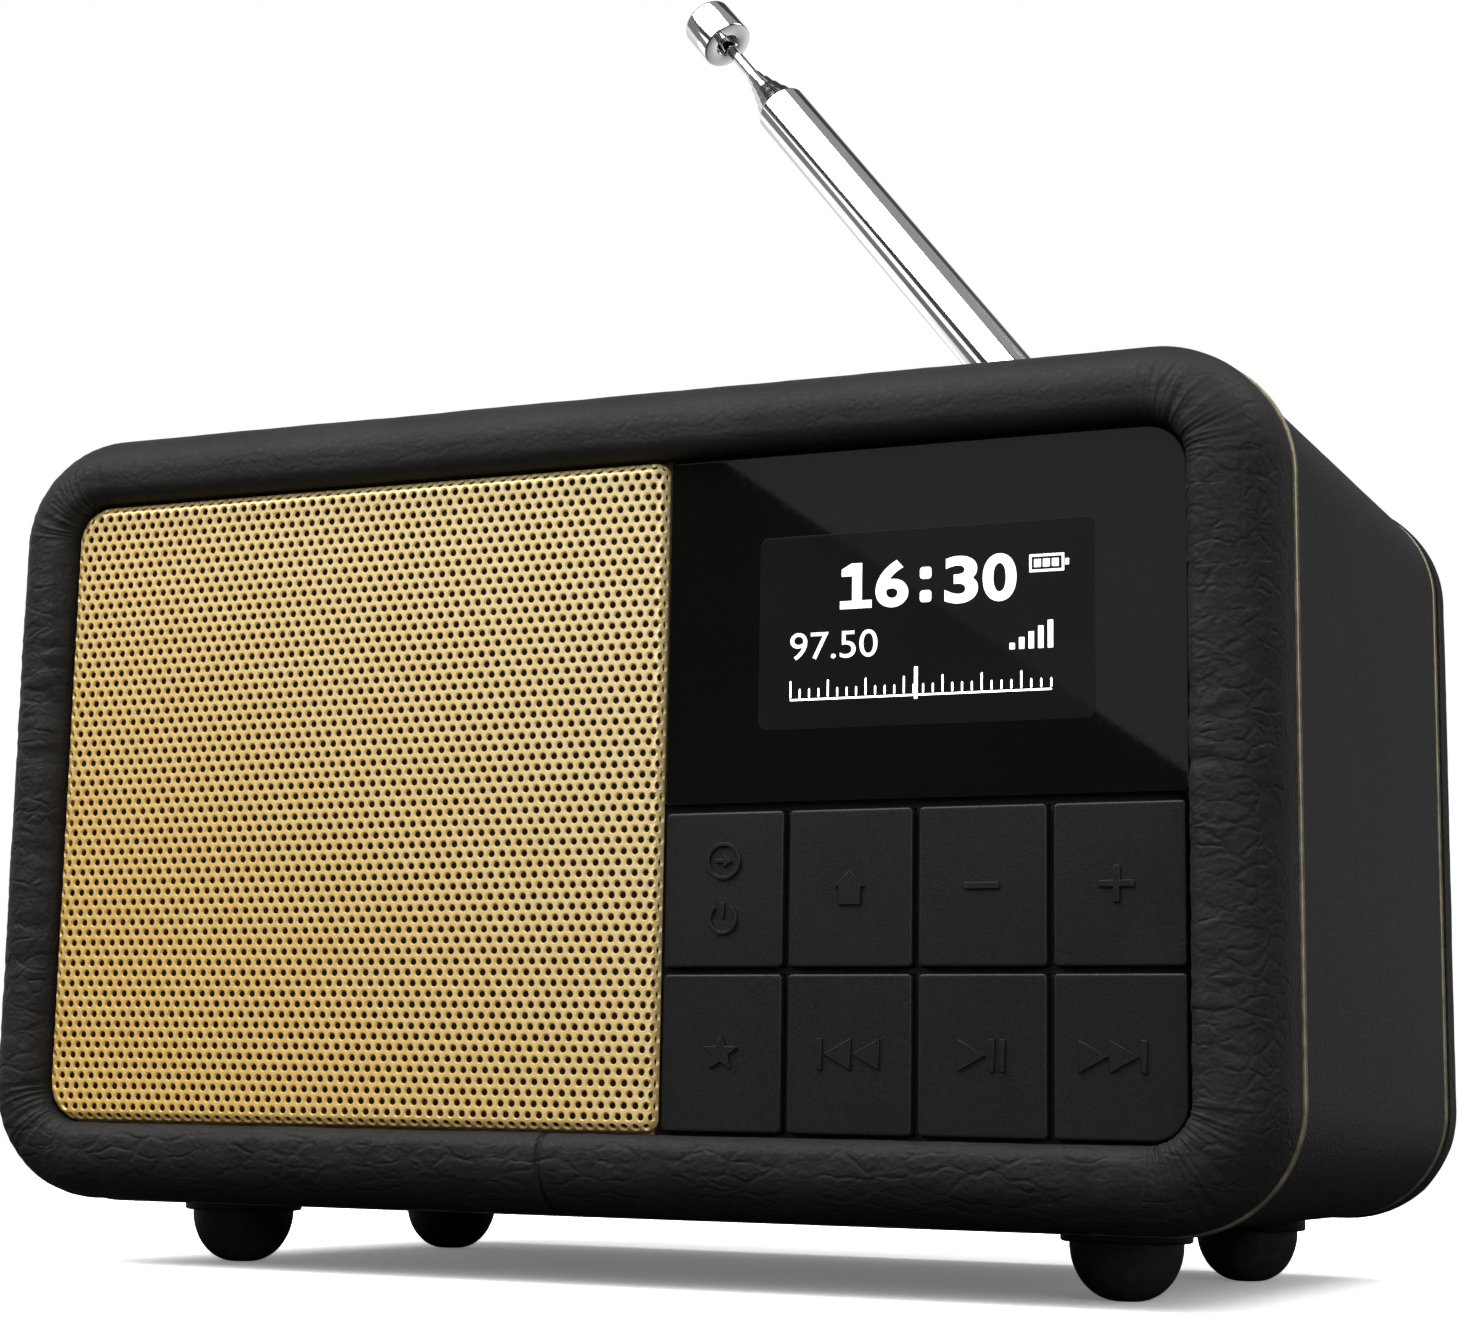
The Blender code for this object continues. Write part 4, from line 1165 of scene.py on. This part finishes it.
def fork():
    disc_thick, disc_radius, stem_radius = 0.0030, 0.0070, 0.0031
    stem_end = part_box("antenna_fork")[0].y - HINGE.y
    disc_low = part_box("antenna_bezel")[1].y + GAP - HINGE.y
    disc_high = disc_low + disc_thick
    profile = [(0, stem_end), (stem_radius, stem_end), (stem_radius, disc_low), (disc_radius, disc_low)]
    profile += rim(disc_radius, disc_high, 0.0007, 6) + [(0, disc_high)]
    body = turned("chrome_fork", profile, 72, SWIVEL @ FACING_REAR)
    for side in (-1, 1):
        near = side * (TANG_HALF + GAP)
        ear = eye("ear", near, near + side * EAR_THICK, disc_high - 0.0010, lambda u, v: (u, v), SWIVEL)
        combine(body, ear, "UNION")
    combine(body, pin_hole_cutter(SWIVEL), "DIFFERENCE")
    soften(body, 0.00015)
    return body


def knuckle():
    collar_start, collar_radius = 0.0085, 0.0049
    collar_end = extent("antenna_knuckle")[1]
    profile = [(0, collar_start), (0.0042, collar_start), (collar_radius, collar_start + 0.0007)]
    profile += [(collar_radius, collar_end - 0.0004), (collar_radius - 0.0004, collar_end), (0, collar_end)]
    body = turned("chrome_knuckle", eased(profile, 0.0003), 72, ARM)
    tang = eye("tang", -TANG_HALF, TANG_HALF, -collar_start - 0.001, lambda u, v: (v, -u), ARM)
    combine(body, tang, "UNION")
    combine(body, pin_hole_cutter(ARM), "DIFFERENCE")
    soften(body, 0.00015)
    return body


def pin():
    head = TANG_HALF + GAP + EAR_THICK + GAP
    shank, high = 0.0012, 0.0008
    profile = [(0, -head - high), (PIN_HEAD, -head - high), (PIN_HEAD, -head), (shank, -head)]
    profile += [(shank, head), (PIN_HEAD, head), (PIN_HEAD, head + high), (0, head + high)]
    return turned("chrome_pin", eased(profile, 0.0003), 48, SWIVEL @ ALONG_X)


def bezel():
    low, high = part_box("antenna_bezel")
    inner, radius = 0.0034, (high.x - low.x) / 2
    profile = [(inner, low.y), (radius, low.y)]
    profile += rim(radius, high.y, 0.0008, 6) + [(inner, high.y)]
    return turned("chrome_bezel", profile, 72, facing_rear_at(HINGE.x, HINGE.z))


# ---------------------------------------------------------------- stage, lights and camera


def area_light(name, place, size, radiance, aim=None, turn=None):
    """A rectangular softbox, out of the camera's sight, given by its brightness."""
    data = bpy.data.lights.new(name, "AREA")
    data.shape = "RECTANGLE"
    data.size, data.size_y = size
    data.energy = radiance * pi * size[0] * size[1]
    lamp = link(name, data)
    lamp.location = place
    if turn is None:
        turn = (Vector(aim) - Vector(place)).to_track_quat("-Z", "Y").to_matrix()
    lamp.rotation_euler = turn.to_euler()
    lamp.visible_camera = False
    return lamp


FLOOR_LIFT = 2.1  # how bright the floor looks for its light, so that it goes white away from the shadows
FLOOR_BOUNCE = 0.06  # how much of its light it throws back at the radio
FLOOR_SHINE = 0.7  # how bright its far side is in the chrome
SHADOW_LIFT = 0.16

# The room that the chrome and the leather reflect: dim, and lighter towards one direction
ROOM_LIT_FROM = (0.15, 0.985, -0.08)
ROOM_RISE = (0.55, 1.0)
ROOM_DIM = 0.045
ROOM_LIT = 0.23


def floor():
    """A white surface under the radio. It keeps the soft shadows, fades to the backdrop's white, and throws
    little light back up."""
    builder = bmesh.new()
    bmesh.ops.create_grid(builder, x_segments=1, y_segments=1, size=30)
    mesh = bpy.data.meshes.new("floor")
    builder.to_mesh(mesh)
    builder.free()
    s = Shader("white_floor", (0.8, 0.8, 0.8), 0.9)
    s.tree.nodes.remove(s.main)

    def diffuse(level):
        return s.made("ShaderNodeBsdfDiffuse", 0, {"Color": (level, level, level, 1)})

    def glow(strength):
        return s.made("ShaderNodeEmission", 0, {"Strength": strength})

    def ray(kind):
        return s.made("ShaderNodeLightPath", kind, {})

    def mixed(factor, first, second):
        return s.made("ShaderNodeMixShader", 0, {0: factor, 1: first, 2: second})

    def added(first, second):
        return s.made("ShaderNodeAddShader", 0, {0: first, 1: second})

    x, y = s.coordinate("X"), s.coordinate("Y")
    away = s.sum(s.sum(s.sum(x, x, "MULTIPLY"), s.sum(y, y, "MULTIPLY")), 0.5, "POWER")
    thrown = diffuse(FLOOR_BOUNCE)
    shiny = added(thrown, glow(s.ramp(y, 0.15, 0.38, 0.0, FLOOR_SHINE)))
    reflected = mixed(ray("Is Glossy Ray"), thrown, shiny)
    seen = added(diffuse(FLOOR_LIFT), glow(SHADOW_LIFT))
    direct = mixed(s.ramp(away, 0.25, 0.60), seen, glow(1.0))
    surface = mixed(ray("Is Camera Ray"), reflected, direct)
    s.feed(s.tree.nodes["Material Output"].inputs["Surface"], surface)
    mesh.materials.append(s.material)
    link("floor", mesh)


def backdrop():
    """White where the camera sees it; for everything else a dim room that is lighter behind the radio."""
    world = bpy.data.worlds.new("studio")
    bpy.context.scene.world = world
    world.use_nodes = True
    w = Nodes(world.node_tree)
    background = w.tree.nodes["Background"]
    background.inputs["Color"].default_value = (1, 1, 1, 1)
    where = w.made("ShaderNodeTexCoord", "Generated", {})
    toward = w.made("ShaderNodeVectorMath", "Value", {0: where, 1: ROOM_LIT_FROM}, operation="DOT_PRODUCT")
    lit = w.ramp(toward, *ROOM_RISE, ROOM_DIM, ROOM_LIT)
    camera_ray = w.made("ShaderNodeLightPath", "Is Camera Ray", {})
    sockets = {"Factor": camera_ray, "A": lit, "B": 1.0}
    strength = w.made("ShaderNodeMix", "Result", sockets, data_type="FLOAT")
    w.feed(background.inputs["Strength"], strength)


def lights():
    """A big softbox overhead on the left and two on the right; a card whose slanting edge shows in the
    window; and for the chrome and the top, dim walls on the left and behind, a card above and a strip."""
    middle = (0, MIDDLE_Y, MIDDLE_Z)
    along = Vector((0.764, 0.345, 0.544)).normalized()
    away = Vector((-0.365, -0.466, 0.804)).normalized()
    turn = Matrix((along, away.cross(along), away)).transposed()
    place = Vector((0.06, -0.03, 0.15)) + away
    # name, place, size and brightness
    area_light("overhead_softbox", place, (1.45, 0.68), 6.4, turn=turn)
    area_light("front_right_softbox", (0.72, -0.78, 0.45), (0.9, 0.60), 3.2, aim=middle)
    area_light("high_right_softbox", (0.60, 0.28, 0.90), (0.5, 0.5), 4.6, aim=middle)
    area_light("rear_left_wall", (-0.94, 0.94, 0.62), (2.0, 1.2), 0.62, aim=(0, 0, 0.62))
    area_light("left_wall", (-1.15, 0.06, 0.50), (1.0, 1.0), 0.15, aim=(0, 0.06, 0.50))
    area_light("ceiling_card", (0.22, 0.26, 1.10), (0.5, 0.9), 0.25, aim=middle)
    area_light("left_strip", (-0.98, -0.32, 0.27), (0.22, 0.22), 1.2, aim=(0, 0.05, 0.15))
    slope = radians(34.85)
    turn = Matrix(((cos(slope), sin(slope), 0), (0, 0, -1), (-sin(slope), cos(slope), 0)))
    card = (MIDDLE_X - 0.1767, MIDDLE_Y - 0.800, MIDDLE_Z + 0.2222)
    area_light("slanted_card", card, (0.36, 0.15), 0.40, turn=turn)


def camera():
    """A long lens from the right, just above the surface that the radio stands on, looking slightly up."""
    data = bpy.data.cameras.new("camera")
    data.sensor_width = 36
    data.lens = 72.69
    data.shift_x = 0.0401
    data.shift_y = -0.0349
    data.clip_start = 0.02
    made = link("camera", data)
    made.location = (MIDDLE_X + 0.16854, MIDDLE_Y - 0.39015, MIDDLE_Z - 0.04046)
    turn = Matrix.Rotation(radians(25.027), 3, "Z")
    tilt = Matrix.Rotation(radians(9.7334), 3, "X")
    roll = Matrix.Rotation(radians(-1.1529), 3, "Y")
    level = Matrix.Rotation(radians(90), 3, "X")
    made.rotation_euler = (turn @ tilt @ roll @ level).to_euler()
    bpy.context.scene.camera = made


# ---------------------------------------------------------------- assembly

bpy.context.scene.view_settings.view_transform = "Standard"

FINISHES = {
    "wood_board": fibreboard(),
    "leather_plain": smooth_leather(),
    "leather_pebbled": pebbled_leather(),
    "gold_piping": gold_piping(),
    "gold_grille": gold_grille(),
    "speaker_cloth": woven("speaker_cloth", (0.045, 0.026, 0.011), 1400),
    "window_black": window_gloss(),
    "screen": screen_gloss(),
    "black_plastic": moulded_plastic("black_plastic", (0.012, 0.012, 0.013), 0.5, 0.00004),
    "button_plastic": moulded_plastic("button_plastic", (0.007, 0.007, 0.0075), 0.42, shine=0.32),
    "circuit_board": moulded_plastic("circuit_board", (0.02, 0.12, 0.05), 0.4),
    "speaker_metal": metal("speaker_metal", (0.10, 0.10, 0.11), 0.4),
    "speaker_rubber": rubber("speaker_rubber", (0.012, 0.012, 0.012), 0.7),
    "speaker_paper": woven("speaker_paper", (0.03, 0.03, 0.03), 2000),
    "cell_sleeve": moulded_plastic("cell_sleeve", (0.03, 0.14, 0.36), 0.35),
    "black_screws": metal("black_screws", (0.05, 0.05, 0.05), 0.4),
    "foot_rubber": rubber("foot_rubber", (0.030, 0.030, 0.030), 0.5),
    "chrome": chrome(),
}


def fit(made, body, slot, *replaced, material=None):
    """Puts a finished piece on its body with the material of its slot, and hides the CAD nodes it stands for."""
    made.data.materials.clear()
    made.data.materials.append(material or FINISHES[slot])
    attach(made, body)
    if replaced:
        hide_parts(*replaced)
    return made


for subpart in frame["record"]["subparts"]:
    node = frame["nodes"][subpart["node"]]
    node.data.materials.clear()
    node.data.materials.append(FINISHES[subpart["material_slot"]])
soften(frame["nodes"]["rear_panel"], 0.0003, 3)
# painted shade: the keypad grid between the keys is darker than the black plastic, so that the gaps between the
# keys read as shadow
keypad_painted_shade = moulded_plastic("keypad_painted_shade", (0.002, 0.002, 0.002), 0.8)
frame["nodes"]["keypad_grid"].data.materials[0] = keypad_painted_shade

front_hide = fit(frame_leather("front_frame_hide", -1), "cabinet", "leather_pebbled", "front_frame_leather")
rear_hide = fit(frame_leather("rear_frame_hide", 1), "cabinet", "leather_pebbled", "rear_frame_leather")
fit(cabinet_skin(), "cabinet", "leather_plain", "cabinet_leather")
fit(piping("front_gold_piping", "front_piping", 0.0002), "cabinet", "gold_piping", "front_piping")
fit(piping("rear_gold_piping", "rear_piping", -0.0004), "cabinet", "gold_piping", "rear_piping")
fit(perforated_grille(), "cabinet", "gold_grille", "speaker_grille")
fit(glossy_window(), "cabinet", "window_black", "display_window")
fit(lit_screen(), "cabinet", "screen")
fit(display_marks(), "cabinet", "screen", material=lit_marks())
for (row, column), sign in key_signs().items():
    button = f"button_{row}_{column}"
    fit(key(row, column), button, "button_plastic", button)
    fit(sign, button, "button_plastic")
for foot_place in ("front_left", "front_right", "rear_left", "rear_right"):
    dome, plate = foot_pieces(foot_place)
    fit(dome, "cabinet", "foot_rubber", f"foot_{foot_place}")
    fit(plate, "cabinet", "black_plastic", f"foot_plate_{foot_place}")
for number in (1, 2, 3, 4):
    fit(rear_screw(number), "cabinet", "black_screws", f"rear_screw_{number}")
fit(charging_socket(), "cabinet", "chrome", "charging_socket")
fit(charging_tongue(), "cabinet", "black_plastic")
fit(headphone_ring(), "cabinet", "chrome", "headphone_socket")
fit(bezel(), "cabinet", "chrome", "antenna_bezel")
fit(fork(), "antenna_base", "chrome", "antenna_fork")
fit(pin(), "antenna_base", "chrome", "antenna_pin")
fit(knuckle(), "antenna_arm", "chrome", "antenna_knuckle")
fit(tube(1), "antenna_arm", "chrome", "antenna_tube_1")
for number in (2, 3, 4, 5):
    fit(tube(number), f"antenna_section_{number}", "chrome", f"antenna_tube_{number}")
fit(rod(), "antenna_rod", "chrome", "antenna_rod")
fit(tip(), "antenna_rod", "chrome", "antenna_tip")

floor()
backdrop()
lights()
camera()
